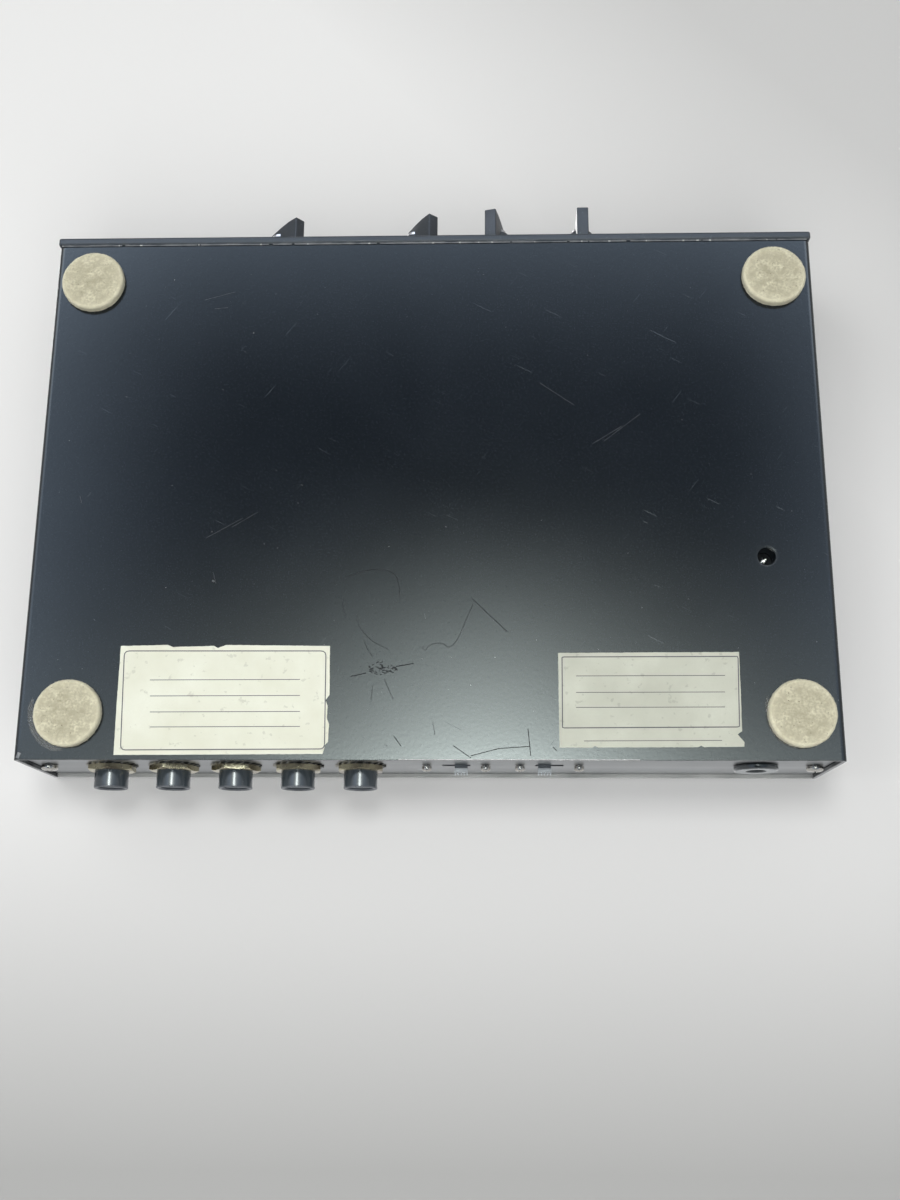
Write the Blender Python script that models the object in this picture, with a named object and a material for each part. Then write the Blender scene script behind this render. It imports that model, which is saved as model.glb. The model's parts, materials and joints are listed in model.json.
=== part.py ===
"""A compact tape echo unit, standing on its four felt feet.

Metres, +Z up. The front panel faces -Y, and +X is to the right as seen from the front.
Places are measured across from the middle of the case, back from the front edge of the case
and up from the surface that the feet stand on. One empty then centres the whole unit.
"""

import math

import bmesh
import bpy
from mathutils import Matrix, Vector

# Clearances
GAP = 0.0003
OVERRUN = 0.002
OVERLAP = 0.0006

# Case of folded steel sheet
CASE_WIDTH = 0.260
CASE_DEPTH = 0.180
CASE_HEIGHT = 0.042
SHEET = 0.0012
BEND_RADIUS = 0.0018
FRONT_FLANGE_HEIGHT = 0.010
FRONT_FLANGE_INSET = 0.012

# Felt feet
FOOT_HEIGHT = 0.003
FOOT_RADIUS = 0.0105
FOOT_SIDE_INSET = 0.0133
FOOT_END_INSET = 0.0146
STRAY_FOOT_SLIP = 0.0033

# Front panel
FRONT_PANEL_THICKNESS = 0.003
FRONT_PANEL_OVERHANG = 0.0005
FRONT_PANEL_EDGE = 0.0008

# Rear panel
REAR_PANEL_THICKNESS = 0.0015
REAR_RECESS = 0.00125
SOCKET_LINE_DROP = 0.001
REAR_TAB_LENGTH = 0.013
REAR_TAB_HALF_HEIGHT = 0.014
CORNER_TAB_WIDTH = 0.009
CORNER_TAB_REACH = 0.028
CORNER_SCREW_INSET = 0.0054

# Pan head screws: head radius, head height, shank radius, shank length
M3_HEAD_RADIUS = 0.00275
M3_HEAD_HEIGHT = 0.0018
M3_SHANK_RADIUS = 0.0015
M3_SHANK_LENGTH = 0.0045
M2_HEAD_RADIUS = 0.0016
M2_HEAD_HEIGHT = 0.0012
M2_SHANK_RADIUS = 0.0009
M2_SHANK_LENGTH = 0.004
SIDE_SCREW_FROM_REAR = 0.0042
SIDE_SCREW_DROP = 0.0044

# Phone jacks
JACK_COUNT = 5
JACK_PITCH = 0.0204
FIRST_JACK_INSET = 0.0261
BARREL_RADIUS = 0.00535
BARREL_REACH = 0.0074
BARREL_LIP = 0.0004
JACK_BORE_RADIUS = 0.0033
JACK_BORE_DEPTH = 0.022
JACK_MOUTH_RADIUS = 0.0040
JACK_MOUTH_DEPTH = 0.0007
JACK_BODY_WIDTH = 0.0125
JACK_BODY_LENGTH = 0.0175
NUT_ACROSS_FLATS = 0.0142
NUT_THICKNESS = 0.0018
NUT_LIFT = 0.0007
NUT_CHAMFER = 0.0005
NUT_SIDES = 6
NUT_TURN_STEP = 11

# Slide switches
FIRST_SWITCH_INSET = 0.1388
SWITCH_PITCH = 0.0303
SWITCH_NAMES = ("left", "right")
SWITCH_PARKED_SIDES = (1, -1)
SWITCH_SCREW_PITCH = 0.01915
SWITCH_FRAME_WIDTH = 0.024
SWITCH_FRAME_HEIGHT = 0.0066
SWITCH_FRAME_DEPTH = 0.0056
SLOT_WIDTH = 0.0091
SLOT_HEIGHT = 0.0034
LEVER_WIDTH = 0.00435
LEVER_HEIGHT = 0.0028
LEVER_REACH = 0.0031
LEVER_TRAVEL = 0.00325
LEVER_FOOT_WIDTH = 0.0074
LEVER_FOOT_HEIGHT = 0.0040
LEVER_FOOT_DEPTH = 0.0016
LEVER_RIDGES = 4
RIDGE_DEPTH = 0.00045

# Direct current inlet
INLET_INSET = 0.0243
INLET_FLANGE_RADIUS = 0.00715
INLET_FLANGE_HEIGHT = 0.0015
INLET_BODY_RADIUS = 0.0055
INLET_BODY_DEPTH = 0.012
INLET_BORE_RADIUS = 0.00315
INLET_BORE_DEPTH = 0.0095
INLET_MOUTH_CHAMFER = 0.0005
INLET_PIN_RADIUS = 0.0010
INLET_PIN_SHORTFALL = 0.0012

# Knobs, each with its share of the way from the middle to the side, its turn at rest in degrees
# clockwise and its lift from the panel
KNOB_NAMES = ("level", "delay", "repeat", "echo")
KNOB_PLACE_SHARES = (-0.433, -0.053, 0.177, 0.410)
KNOB_TURNS = (-50, -41, 15, 0)
KNOB_LIFTS = (0.0006, 0.0010, 0.0018, 0.0020)
KNOB_HEIGHT = 0.0149
KNOB_SKIRT_RADIUS = 0.0090
KNOB_SKIRT_HEIGHT = 0.0022
KNOB_CROWN_RADIUS = 0.0044
KNOB_CROWN_HEIGHT = 0.0098
KNOB_CROWN_ROUND = 0.0009
KNOB_BAR_HALF_LENGTH = 0.0105
KNOB_BAR_WIDTH = 0.0041
KNOB_BAR_START = 0.0012
KNOB_BAR_EDGE = 0.0004
KNOB_CAVITY_RADIUS = 0.0066
KNOB_CAVITY_DEPTH = 0.0046
KNOB_SOCKET_DEPTH = 0.0115

# Side view of the knob's bar: shares of its length from the tail, and of the knob's height
KNOB_BAR_SHARES = ((0, 1), (0.2, 0.985), (0.4, 0.925), (0.6, 0.84), (0.8, 0.71), (1, 0.52))

# Potentiometers
POT_RADIUS = 0.0080
POT_DEPTH = 0.0092
POT_BUSHING_RADIUS = 0.0045
POT_BUSHING_REACH = 0.0036
SHAFT_RADIUS = 0.0030
SHAFT_SEAT_DEPTH = 0.0062

# Power button, its switch and the lamp beside it
BUTTON_INSET = 0.0300
BUTTON_RADIUS = 0.0040
BUTTON_REACH = 0.0045
BUTTON_TRAVEL = 0.0030
BUTTON_EDGE = 0.0005
BUTTON_STEM_RADIUS = 0.0015
BUTTON_STEM_LENGTH = 0.0080
POWER_SWITCH_WIDTH = 0.0120
POWER_SWITCH_DEPTH = 0.0160
LAMP_TO_BUTTON = 0.0180
LAMP_RADIUS = 0.0025
LAMP_REACH = 0.0010
LAMP_FLANGE_RADIUS = 0.0033
LAMP_FLANGE_DEPTH = 0.0010

# Tape bay and its lid, in the top cover
BAY_SIDE_MARGIN = 0.0120
BAY_MIDDLE_MARGIN = 0.0120
BAY_FRONT = 0.0200
BAY_REAR_MARGIN = 0.0300
LID_NOSE_RADIUS = 0.0018
LID_STUB_RADIUS = 0.0010
LID_STUB_LENGTH = 0.0014
LID_EAR_THICKNESS = 0.0020
LID_EAR_HALF_LENGTH = 0.0026
LID_EAR_DROP = 0.0042
LID_NOTCH_RADIUS = 0.0080
LID_REST_WIDTH = 0.0120
LID_REST_REACH = 0.0025
LID_REST_SPREAD = 0.0320

# Deck plate, carried on posts of the bottom cover
DECK_SIDE_MARGIN = 0.0060
DECK_MIDDLE_MARGIN = 0.0050
DECK_FRONT = 0.0120
DECK_REAR_MARGIN = 0.0260
DECK_DROP = 0.0175
DECK_THICKNESS = 0.0015
POST_RADIUS = 0.0030
POST_INSET = 0.0060

# Flywheel with its capstan, and the motor that drives it through a belt
CAPSTAN_TO_MIDDLE = 0.0340
CAPSTAN_DEPTH = 0.0725
CAPSTAN_RADIUS = 0.0015
CAPSTAN_HEIGHT = 0.0120
FLYWHEEL_RADIUS = 0.0260
FLYWHEEL_LOW = 0.0070
FLYWHEEL_HIGH = 0.0130
FLYWHEEL_HUB_RADIUS = 0.0050
FLYWHEEL_HUB_HIGH = 0.0160
GROOVE_DEPTH = 0.0010
GROOVE_WIDTH = 0.0020
BELT_THICKNESS = 0.0009
MOTOR_INSET = 0.0340
MOTOR_DEPTH = 0.0400
MOTOR_RADIUS = 0.0140
MOTOR_LOW = 0.0125
MOTOR_EDGE = 0.0008
PULLEY_RADIUS = 0.0050
PULLEY_LOW = 0.0075
PULLEY_HIGH = 0.0120
MOTOR_SHAFT_RADIUS = 0.0010
MOTOR_SHAFT_DROP = 0.0060

# Pinch roller on its swinging arm
ARM_PIVOT_OFFSET = (0.0140, -0.0092)
PINCH_RADIUS = 0.0070
PINCH_HEIGHT = 0.0080
PINCH_PIN_RADIUS = 0.0015
PINCH_PIN_SPARE = 0.0010
ARM_LIFT = 0.0006
ARM_THICKNESS = 0.0020
ARM_HALF_WIDTH = 0.0042
PIVOT_RADIUS = 0.0020
PIVOT_HEIGHT = 0.0050

# Heads on their block, in front of the tape
HEADS_TO_CAPSTAN = 0.0220
HEAD_BLOCK_WIDTH = 0.0440
HEAD_BLOCK_DEPTH = 0.018
HEAD_BLOCK_THICKNESS = 0.0015
HEAD_COUNT = 3
HEAD_WIDTH = 0.0100
HEAD_DEPTH = 0.0110
HEAD_HEIGHT = 0.0090
HEAD_NOSE_DEPTH = 0.0022

# Tape cartridge and the reel inside it
CARTRIDGE_SIDE_PLAY = 0.0060
CARTRIDGE_MIDDLE_PLAY = 0.0080
CARTRIDGE_REAR_PLAY = 0.0060
CARTRIDGE_HEIGHT = 0.0125
CARTRIDGE_NOTCH_RADIUS = 0.0050
REEL_WALL = 0.0066
REEL_HEIGHT = 0.0085
REEL_FLANGE_RADIUS = 0.0110
REEL_FLANGE_HEIGHT = 0.0006
SPINDLE_RADIUS = 0.0030
SPINDLE_HEIGHT = 0.0070
WINDOW_WIDTH = 0.050
WINDOW_DEPTH = 0.022

# Circuit board, carried on posts of the bottom cover, and the trimmer under it
BOARD_TO_MIDDLE = 0.0040
BOARD_SIDE_MARGIN = 0.0080
BOARD_FRONT_MARGIN = 0.0030
BOARD_REAR_MARGIN = 0.0300
BOARD_UNDERSIDE = 0.0140
BOARD_THICKNESS = 0.0016
TRIMMER_INSET = 0.0211
TRIMMER_FROM_REAR = 0.0660
TRIMMER_HOLE_RADIUS = 0.0033
TRIMMER_WIDTH = 0.0095
TRIMMER_HEIGHT = 0.0048
ROTOR_RADIUS = 0.0027
ROTOR_THICKNESS = 0.0018
ROTOR_PROUD = 0.0006
ROTOR_SLOT_WIDTH = 0.0007
ROTOR_SLOT_DEPTH = 0.0007

# Counts of sides on round pieces
FINE_SIDES = 32
ROUND_SIDES = 24
SMALL_SIDES = 16
ARC_STEPS = 4

# The case: heights from the surface, and depths behind the front edge
UNDERSIDE = FOOT_HEIGHT
FLOOR_TOP = UNDERSIDE + SHEET
CASE_TOP = UNDERSIDE + CASE_HEIGHT
HALF_WIDTH = CASE_WIDTH / 2
INNER_HALF_WIDTH = HALF_WIDTH - SHEET - GAP
REAR_FACE = CASE_DEPTH - REAR_RECESS
REAR_BACK = REAR_FACE - REAR_PANEL_THICKNESS
BEHIND_REAR = REAR_BACK - GAP
CONTROL_HEIGHT = UNDERSIDE + CASE_HEIGHT / 2
SOCKET_HEIGHT = CONTROL_HEIGHT - SOCKET_LINE_DROP
FRONT_REACH = FRONT_PANEL_THICKNESS + max(KNOB_LIFTS) + KNOB_HEIGHT
REAR_REACH = REAR_FACE + BARREL_REACH

# Places across the two panels
KNOB_PLACES = [share * HALF_WIDTH for share in KNOB_PLACE_SHARES]
BUTTON_PLACE = HALF_WIDTH - BUTTON_INSET
LAMP_PLACE = BUTTON_PLACE - LAMP_TO_BUTTON
SWITCH_PLACES = [FIRST_SWITCH_INSET - HALF_WIDTH + number * SWITCH_PITCH for number in (0, 1)]
INLET_PLACE = HALF_WIDTH - INLET_INSET

# The tape bay and what stands in it
BAY_LEFT = -HALF_WIDTH + BAY_SIDE_MARGIN
BAY_RIGHT = -BAY_MIDDLE_MARGIN
BAY_REAR = CASE_DEPTH - BAY_REAR_MARGIN
HINGE_DEPTH = BAY_REAR - GAP - LID_NOSE_RADIUS
HINGE_HEIGHT = CASE_TOP - LID_NOSE_RADIUS
DECK_LEFT = -HALF_WIDTH + DECK_SIDE_MARGIN
DECK_RIGHT = -DECK_MIDDLE_MARGIN
DECK_REAR = CASE_DEPTH - DECK_REAR_MARGIN
DECK_TOP = CASE_TOP - DECK_DROP
DECK_UNDERSIDE = DECK_TOP - DECK_THICKNESS
CAPSTAN_PLACE = (-CAPSTAN_TO_MIDDLE, CAPSTAN_DEPTH)
CAPSTAN_TOP = DECK_TOP + CAPSTAN_HEIGHT
MOTOR_PLACE = (-HALF_WIDTH + MOTOR_INSET, MOTOR_DEPTH)
MOTOR_SHAFT_HIGH = DECK_UNDERSIDE - MOTOR_SHAFT_DROP
BELT_HEIGHT = (FLYWHEEL_LOW + FLYWHEEL_HIGH) / 2
PINCH_PLACE = (CAPSTAN_PLACE[0], CAPSTAN_PLACE[1] - CAPSTAN_RADIUS - GAP - PINCH_RADIUS)
PIVOT_PLACE = (PINCH_PLACE[0] + ARM_PIVOT_OFFSET[0], PINCH_PLACE[1] + ARM_PIVOT_OFFSET[1])
HEAD_BLOCK_RIGHT = CAPSTAN_PLACE[0] - HEADS_TO_CAPSTAN
HEAD_BLOCK_LEFT = HEAD_BLOCK_RIGHT - HEAD_BLOCK_WIDTH
CARTRIDGE_LEFT = BAY_LEFT + CARTRIDGE_SIDE_PLAY
CARTRIDGE_RIGHT = BAY_RIGHT - CARTRIDGE_MIDDLE_PLAY
CARTRIDGE_FRONT = CAPSTAN_DEPTH + GAP
CARTRIDGE_REAR = BAY_REAR - CARTRIDGE_REAR_PLAY
REEL_PLACE = ((CARTRIDGE_LEFT + CARTRIDGE_RIGHT) / 2, (CARTRIDGE_FRONT + CARTRIDGE_REAR) / 2)
REEL_RADIUS = min(CARTRIDGE_REAR - CARTRIDGE_FRONT, CARTRIDGE_RIGHT - CARTRIDGE_LEFT) / 2 - REEL_WALL

# The circuit board and its trimmer
BOARD_LEFT = BOARD_TO_MIDDLE
BOARD_RIGHT = HALF_WIDTH - BOARD_SIDE_MARGIN
BOARD_FRONT = GAP + POWER_SWITCH_DEPTH + BOARD_FRONT_MARGIN
BOARD_REAR = CASE_DEPTH - BOARD_REAR_MARGIN
TRIMMER_PLACE = (HALF_WIDTH - TRIMMER_INSET, CASE_DEPTH - TRIMMER_FROM_REAR)

# Ways that a piece's own Z axis can point
UP = Matrix.Identity(4)
FORWARD = Matrix.Rotation(math.pi / 2, 4, "X")
BACKWARD = Matrix.Rotation(-math.pi / 2, 4, "X")
LEFT = Matrix.Rotation(-math.pi / 2, 4, "Y")
RIGHT = Matrix.Rotation(math.pi / 2, 4, "Y")


def clear_scene():
    for piece in list(bpy.data.objects):
        bpy.data.objects.remove(piece, do_unlink=True)


def finish(name, colour, roughness, metallic=0.0):
    """A material whose shader holds the colour, roughness and metallic value of one surface."""
    made = bpy.data.materials.new(name)
    made.use_nodes = True
    shader = made.node_tree.nodes["Principled BSDF"]
    shader.inputs["Base Color"].default_value = (*colour, 1)
    shader.inputs["Roughness"].default_value = roughness
    shader.inputs["Metallic"].default_value = metallic
    made.diffuse_color = (*colour, 1)
    return made


def add_object(name, shape, surface):
    """Turns a bmesh into an object under the unit's empty, with its faces pointing out."""
    bmesh.ops.recalc_face_normals(shape, faces=shape.faces)
    mesh = bpy.data.meshes.new(name)
    shape.to_mesh(mesh)
    shape.free()
    if surface:
        mesh.materials.append(surface)
    piece = bpy.data.objects.new(name, mesh)
    bpy.context.scene.collection.objects.link(piece)
    piece.parent = unit
    return piece


def set_place(piece, place, facing=UP, turn=0.0):
    """Stands a piece at its place, with its own Z axis pointing the given way."""
    piece.matrix_local = Matrix.Translation(place) @ facing @ Matrix.Rotation(turn, 4, "Z")
    return piece


def smooth(piece):
    """Shades the round faces smooth and keeps the corners sharp."""
    piece.data.shade_smooth()
    piece.data.set_sharp_from_angle(angle=math.radians(35))
    return piece


def block(name, low, high, surface=None):
    """A box between two corners, placed by its centre."""
    low, high = Vector(low), Vector(high)
    shape = bmesh.new()
    bmesh.ops.create_cube(shape, size=1)
    bmesh.ops.scale(shape, vec=high - low, verts=shape.verts)
    return set_place(add_object(name, shape, surface), (low + high) / 2)


def turned(name, profile, surface=None, sides=ROUND_SIDES):
    """A lathe shape about its own Z axis, from (radius, height) points.

    A profile that starts on the axis is a solid. One that stays off the axis is a ring.
    """
    shape = bmesh.new()
    rings = []
    for radius, height in profile:
        if radius == 0:
            rings.append([shape.verts.new((0, 0, height))] * sides)
            continue
        angles = [math.tau * k / sides for k in range(sides)]
        places = [(radius * math.cos(a), radius * math.sin(a), height) for a in angles]
        rings.append([shape.verts.new(place) for place in places])
    pairs = list(zip(rings, rings[1:]))
    if profile[0][0] != 0:
        pairs.append((rings[-1], rings[0]))
    for lower, upper in pairs:
        for k in range(sides):
            after = (k + 1) % sides
            corners = dict.fromkeys((lower[k], lower[after], upper[after], upper[k]))
            shape.faces.new(corners)
    return smooth(add_object(name, shape, surface))


def plug(name, radius, low, high, sides=ROUND_SIDES):
    """A plain round cutter or pin along its own Z axis."""
    return turned(name, ((0, low), (radius, low), (radius, high), (0, high)), sides=sides)


def prism(name, outline, low, high, surface=None):
    """An outline in the piece's own XY plane, extruded along its own Z axis."""
    shape = bmesh.new()
    face = shape.faces.new([shape.verts.new((x, y, low)) for x, y in outline])
    swept = bmesh.ops.extrude_face_region(shape, geom=[face])
    raised = [item for item in swept["geom"] if isinstance(item, bmesh.types.BMVert)]
    bmesh.ops.translate(shape, vec=(0, 0, high - low), verts=raised)
    return add_object(name, shape, surface)


def arc(centre, radius, start, end, steps=ARC_STEPS):
    """Points of an arc, both ends included, with its angles in degrees."""
    angles = [math.radians(start + (end - start) * k / steps) for k in range(steps + 1)]
    return [(centre[0] + radius * math.cos(a), centre[1] + radius * math.sin(a)) for a in angles]


def combine(piece, guide, operation):
    """Joins a guide to a piece, cuts it out or keeps what both share. The guide itself never shows."""
    step = piece.modifiers.new(guide.name, "BOOLEAN")
    step.operation = operation
    step.object = guide
    guide.hide_render = True
    guide.display_type = "WIRE"


def cut(piece, *guides):
    for guide in guides:
        combine(piece, guide, "DIFFERENCE")


def join(piece, *guides):
    for guide in guides:
        combine(piece, guide, "UNION")


def bevel(piece, width, segments=2):
    step = piece.modifiers.new("Edges", "BEVEL")
    step.width = width
    step.segments = segments
    step.limit_method = "ANGLE"


def pan_screw(name, head_radius, head_height, shank_radius, shank_length, surface):
    """A screw that points along its own -Z axis, with its head from zero upwards."""
    dome = arc((head_radius - head_height / 2, head_height / 2), head_height / 2, 0, 90)
    profile = [(0, -shank_length), (shank_radius, -shank_length), (shank_radius, 0), (head_radius, 0)]
    return turned(name, profile + dome + [(0, head_height)], surface, SMALL_SIDES)


def make_feet():
    """Four felt discs under the case. The rear left one was glued on further in."""
    for end, sign_y, depth in (("front", -1, FOOT_END_INSET), ("rear", 1, CASE_DEPTH - FOOT_END_INSET)):
        for side, sign_x in (("left", -1), ("right", 1)):
            across = sign_x * (HALF_WIDTH - FOOT_SIDE_INSET)
            if sign_x < 0 < sign_y:
                across += STRAY_FOOT_SLIP
            high = FOOT_HEIGHT - GAP
            profile = ((0, 0), (FOOT_RADIUS, 0), (FOOT_RADIUS, high), (0, high))
            foot = turned(f"foot_{end}_{side}", profile, felt, FINE_SIDES)
            set_place(foot, (across, depth, 0))


def make_bottom_cover():
    """A folded tray: the underside plate with both side walls, a front flange and the posts inside."""
    outer_corner = (HALF_WIDTH - BEND_RADIUS, UNDERSIDE + BEND_RADIUS)
    right_half = (
        [(HALF_WIDTH, CASE_TOP)]
        + arc(outer_corner, BEND_RADIUS, 0, -90)
    )
    right_inside = (
        arc(outer_corner, BEND_RADIUS - SHEET, -90, 0)
        + [(HALF_WIDTH - SHEET, CASE_TOP)]
    )
    left_half = [(-x, z) for x, z in reversed(right_half)]
    left_inside = [(-x, z) for x, z in reversed(right_inside)]
    outline = right_half + left_half + left_inside + right_inside
    tray = prism("bottom_cover", outline, -CASE_DEPTH, -GAP, black_steel)
    set_place(tray, (0, 0, 0), FORWARD)
    middle_of_floor = UNDERSIDE + SHEET / 2
    flange_half_width = HALF_WIDTH - FRONT_FLANGE_INSET
    flange = block(
        "bottom_flange_guide",
        (-flange_half_width, GAP, middle_of_floor),
        (flange_half_width, GAP + SHEET, UNDERSIDE + FRONT_FLANGE_HEIGHT),
    )
    join(tray, flange)
    decks = post_places(DECK_LEFT, DECK_RIGHT, DECK_FRONT, DECK_REAR)
    boards = post_places(BOARD_LEFT, BOARD_RIGHT, BOARD_FRONT, BOARD_REAR)
    for kind, places, top in (("deck", decks, DECK_UNDERSIDE), ("board", boards, BOARD_UNDERSIDE)):
        for number, (across, depth) in enumerate(places, 1):
            post_name = f"{kind}_post_guide_{number}"
            post = plug(post_name, POST_RADIUS, middle_of_floor, top - GAP, SMALL_SIDES)
            set_place(post, (across, depth, 0))
            join(tray, post)
    hole = plug("trimmer_hole_guide", TRIMMER_HOLE_RADIUS, UNDERSIDE - OVERRUN, FLOOR_TOP + OVERRUN)
    cut(tray, set_place(hole, (*TRIMMER_PLACE, 0)))
    for side, sign in (("left", -1), ("right", 1)):
        across = sign * (HALF_WIDTH - SHEET / 2)
        hole = plug(f"wall_hole_guide_{side}", M3_SHANK_RADIUS + GAP, -OVERRUN, OVERRUN, SMALL_SIDES)
        cut(tray, set_place(hole, side_screw_place(across), RIGHT))


def post_places(left, right, front, rear):
    depths = (front + POST_INSET, rear - POST_INSET)
    return [(across, depth) for across in (left + POST_INSET, right - POST_INSET) for depth in depths]


def side_screw_place(across):
    return (across, CASE_DEPTH - SIDE_SCREW_FROM_REAR, SOCKET_HEIGHT - SIDE_SCREW_DROP)


def make_top_cover():
    """The flat top with the tape bay's opening, ears for the lid's pivots and tabs for the rear screws."""
    low = CASE_TOP - SHEET
    plate = block(
        "top_cover",
        (-INNER_HALF_WIDTH, GAP, low),
        (INNER_HALF_WIDTH, CASE_DEPTH, CASE_TOP),
        black_steel,
    )
    middle = CASE_TOP - SHEET / 2
    bay = block(
        "bay_guide",
        (BAY_LEFT, BAY_FRONT, low - OVERRUN),
        (BAY_RIGHT, BAY_REAR, CASE_TOP + OVERRUN),
    )
    cut(plate, bay)
    for side, sign in (("left", -1), ("right", 1)):
        inner_edge = BAY_LEFT if sign < 0 else BAY_RIGHT
        outer_edge = inner_edge + sign * LID_EAR_THICKNESS
        ear = block(
            f"ear_guide_{side}",
            (min(inner_edge, outer_edge), HINGE_DEPTH - LID_EAR_HALF_LENGTH, CASE_TOP - LID_EAR_DROP),
            (max(inner_edge, outer_edge), HINGE_DEPTH + LID_EAR_HALF_LENGTH, middle),
        )
        join(plate, ear)
        bore = plug(f"ear_bore_guide_{side}", LID_STUB_RADIUS + GAP, -OVERRUN, OVERRUN, SMALL_SIDES)
        cut(plate, set_place(bore, (inner_edge, HINGE_DEPTH, HINGE_HEIGHT), RIGHT))
        across = sign * (INNER_HALF_WIDTH - REAR_PANEL_THICKNESS - GAP)
        inner = across - sign * CORNER_TAB_WIDTH
        tab = block(
            f"corner_tab_guide_{side}",
            (min(across, inner), BEHIND_REAR - SHEET, CASE_TOP - CORNER_TAB_REACH),
            (max(across, inner), BEHIND_REAR, middle),
        )
        join(plate, tab)
        hole = plug(f"tab_hole_guide_{side}", M3_SHANK_RADIUS + GAP, -OVERRUN, OVERRUN, SMALL_SIDES)
        cut(plate, set_place(hole, corner_screw_place(sign, BEHIND_REAR - SHEET / 2), BACKWARD))
        rest_middle = (BAY_LEFT + BAY_RIGHT) / 2 + sign * LID_REST_SPREAD
        rest = block(
            f"lid_rest_guide_{side}",
            (rest_middle - LID_REST_WIDTH / 2, BAY_FRONT - LID_REST_REACH, low - GAP - SHEET),
            (rest_middle + LID_REST_WIDTH / 2, BAY_FRONT + LID_REST_REACH, low - GAP),
        )
        neck = block(
            f"lid_rest_neck_guide_{side}",
            (rest_middle - LID_REST_WIDTH / 2, BAY_FRONT - LID_REST_REACH, low - GAP - OVERLAP),
            (rest_middle + LID_REST_WIDTH / 2, BAY_FRONT - LID_REST_REACH / 2, middle),
        )
        join(plate, neck, rest)


def corner_screw_place(sign, depth):
    return (sign * (HALF_WIDTH - CORNER_SCREW_INSET), depth, SOCKET_HEIGHT)


def make_tape_lid():
    """The bay's lid: a plate whose rear edge is a round nose on the hinge line, with two pivot stubs."""
    left = BAY_LEFT + GAP
    right = BAY_RIGHT - GAP
    half = (right - left) / 2
    middle = (left + right) / 2
    top = CASE_TOP - HINGE_HEIGHT
    front = BAY_FRONT + GAP - HINGE_DEPTH
    nose = arc((0, 0), LID_NOSE_RADIUS, 90, -180, 3 * ARC_STEPS)
    outline = nose + [(-LID_NOSE_RADIUS, top - SHEET), (front, top - SHEET), (front, top)]
    lid = prism("tape_lid", outline, -half, half, black_steel)
    sideways = Matrix.Rotation(math.pi / 2, 4, "Z") @ FORWARD
    set_place(lid, (middle, HINGE_DEPTH, HINGE_HEIGHT), sideways)
    reach = half + GAP + LID_STUB_LENGTH
    stubs = plug("lid_stub_guide", LID_STUB_RADIUS, -reach, reach, SMALL_SIDES)
    join(lid, set_place(stubs, (middle, HINGE_DEPTH, HINGE_HEIGHT), RIGHT))
    notch_low = CASE_TOP - LID_NOSE_RADIUS - OVERRUN
    notch = plug("lid_notch_guide", LID_NOTCH_RADIUS, notch_low, CASE_TOP + OVERRUN)
    cut(lid, set_place(notch, (middle, BAY_FRONT, 0)))


def make_rear_panel():
    """The plate that carries the sockets and switches, with a tab behind each side wall."""
    low = FLOOR_TOP + GAP
    high = CASE_TOP - SHEET - GAP
    panel = block(
        "rear_panel",
        (-INNER_HALF_WIDTH, REAR_BACK, low),
        (INNER_HALF_WIDTH, REAR_FACE, high),
        bare_aluminium,
    )
    for number, across in enumerate(jack_places(), 1):
        hole = plug(f"jack_hole_guide_{number}", BARREL_RADIUS + GAP, -OVERRUN, OVERRUN)
        cut(panel, set_place(hole, (across, (REAR_BACK + REAR_FACE) / 2, SOCKET_HEIGHT), BACKWARD))
    for name, across in zip(SWITCH_NAMES, SWITCH_PLACES):
        slot = block(
            f"slot_guide_{name}",
            (across - SLOT_WIDTH / 2, REAR_BACK - OVERRUN, SOCKET_HEIGHT - SLOT_HEIGHT / 2),
            (across + SLOT_WIDTH / 2, REAR_FACE + OVERRUN, SOCKET_HEIGHT + SLOT_HEIGHT / 2),
        )
        cut(panel, slot)
    for number, across in enumerate(switch_screw_places(), 1):
        hole = plug(f"switch_hole_guide_{number}", M2_SHANK_RADIUS + GAP, -OVERRUN, OVERRUN, SMALL_SIDES)
        cut(panel, set_place(hole, (across, (REAR_BACK + REAR_FACE) / 2, SOCKET_HEIGHT), BACKWARD))
    inlet = plug("inlet_hole_guide", INLET_BODY_RADIUS + GAP, -OVERRUN, OVERRUN)
    cut(panel, set_place(inlet, (INLET_PLACE, (REAR_BACK + REAR_FACE) / 2, SOCKET_HEIGHT), BACKWARD))
    for side, sign in (("left", -1), ("right", 1)):
        hole = plug(f"corner_hole_guide_{side}", M3_SHANK_RADIUS + GAP, -OVERRUN, OVERRUN, SMALL_SIDES)
        cut(panel, set_place(hole, corner_screw_place(sign, (REAR_BACK + REAR_FACE) / 2), BACKWARD))
        outer = sign * INNER_HALF_WIDTH
        inner = outer - sign * REAR_PANEL_THICKNESS
        tab = block(
            f"side_tab_guide_{side}",
            (min(outer, inner), REAR_BACK - REAR_TAB_LENGTH, SOCKET_HEIGHT - REAR_TAB_HALF_HEIGHT),
            (max(outer, inner), REAR_BACK + OVERLAP, SOCKET_HEIGHT + REAR_TAB_HALF_HEIGHT),
        )
        join(panel, tab)
        hole = plug(f"tab_screw_guide_{side}", M3_SHANK_RADIUS + GAP, -OVERRUN, OVERRUN, SMALL_SIDES)
        cut(panel, set_place(hole, side_screw_place((outer + inner) / 2), RIGHT))


def jack_places():
    first = -HALF_WIDTH + FIRST_JACK_INSET
    return [first + number * JACK_PITCH for number in range(JACK_COUNT)]


def switch_screw_places():
    return [place + sign * SWITCH_SCREW_PITCH / 2 for place in SWITCH_PLACES for sign in (-1, 1)]


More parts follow.
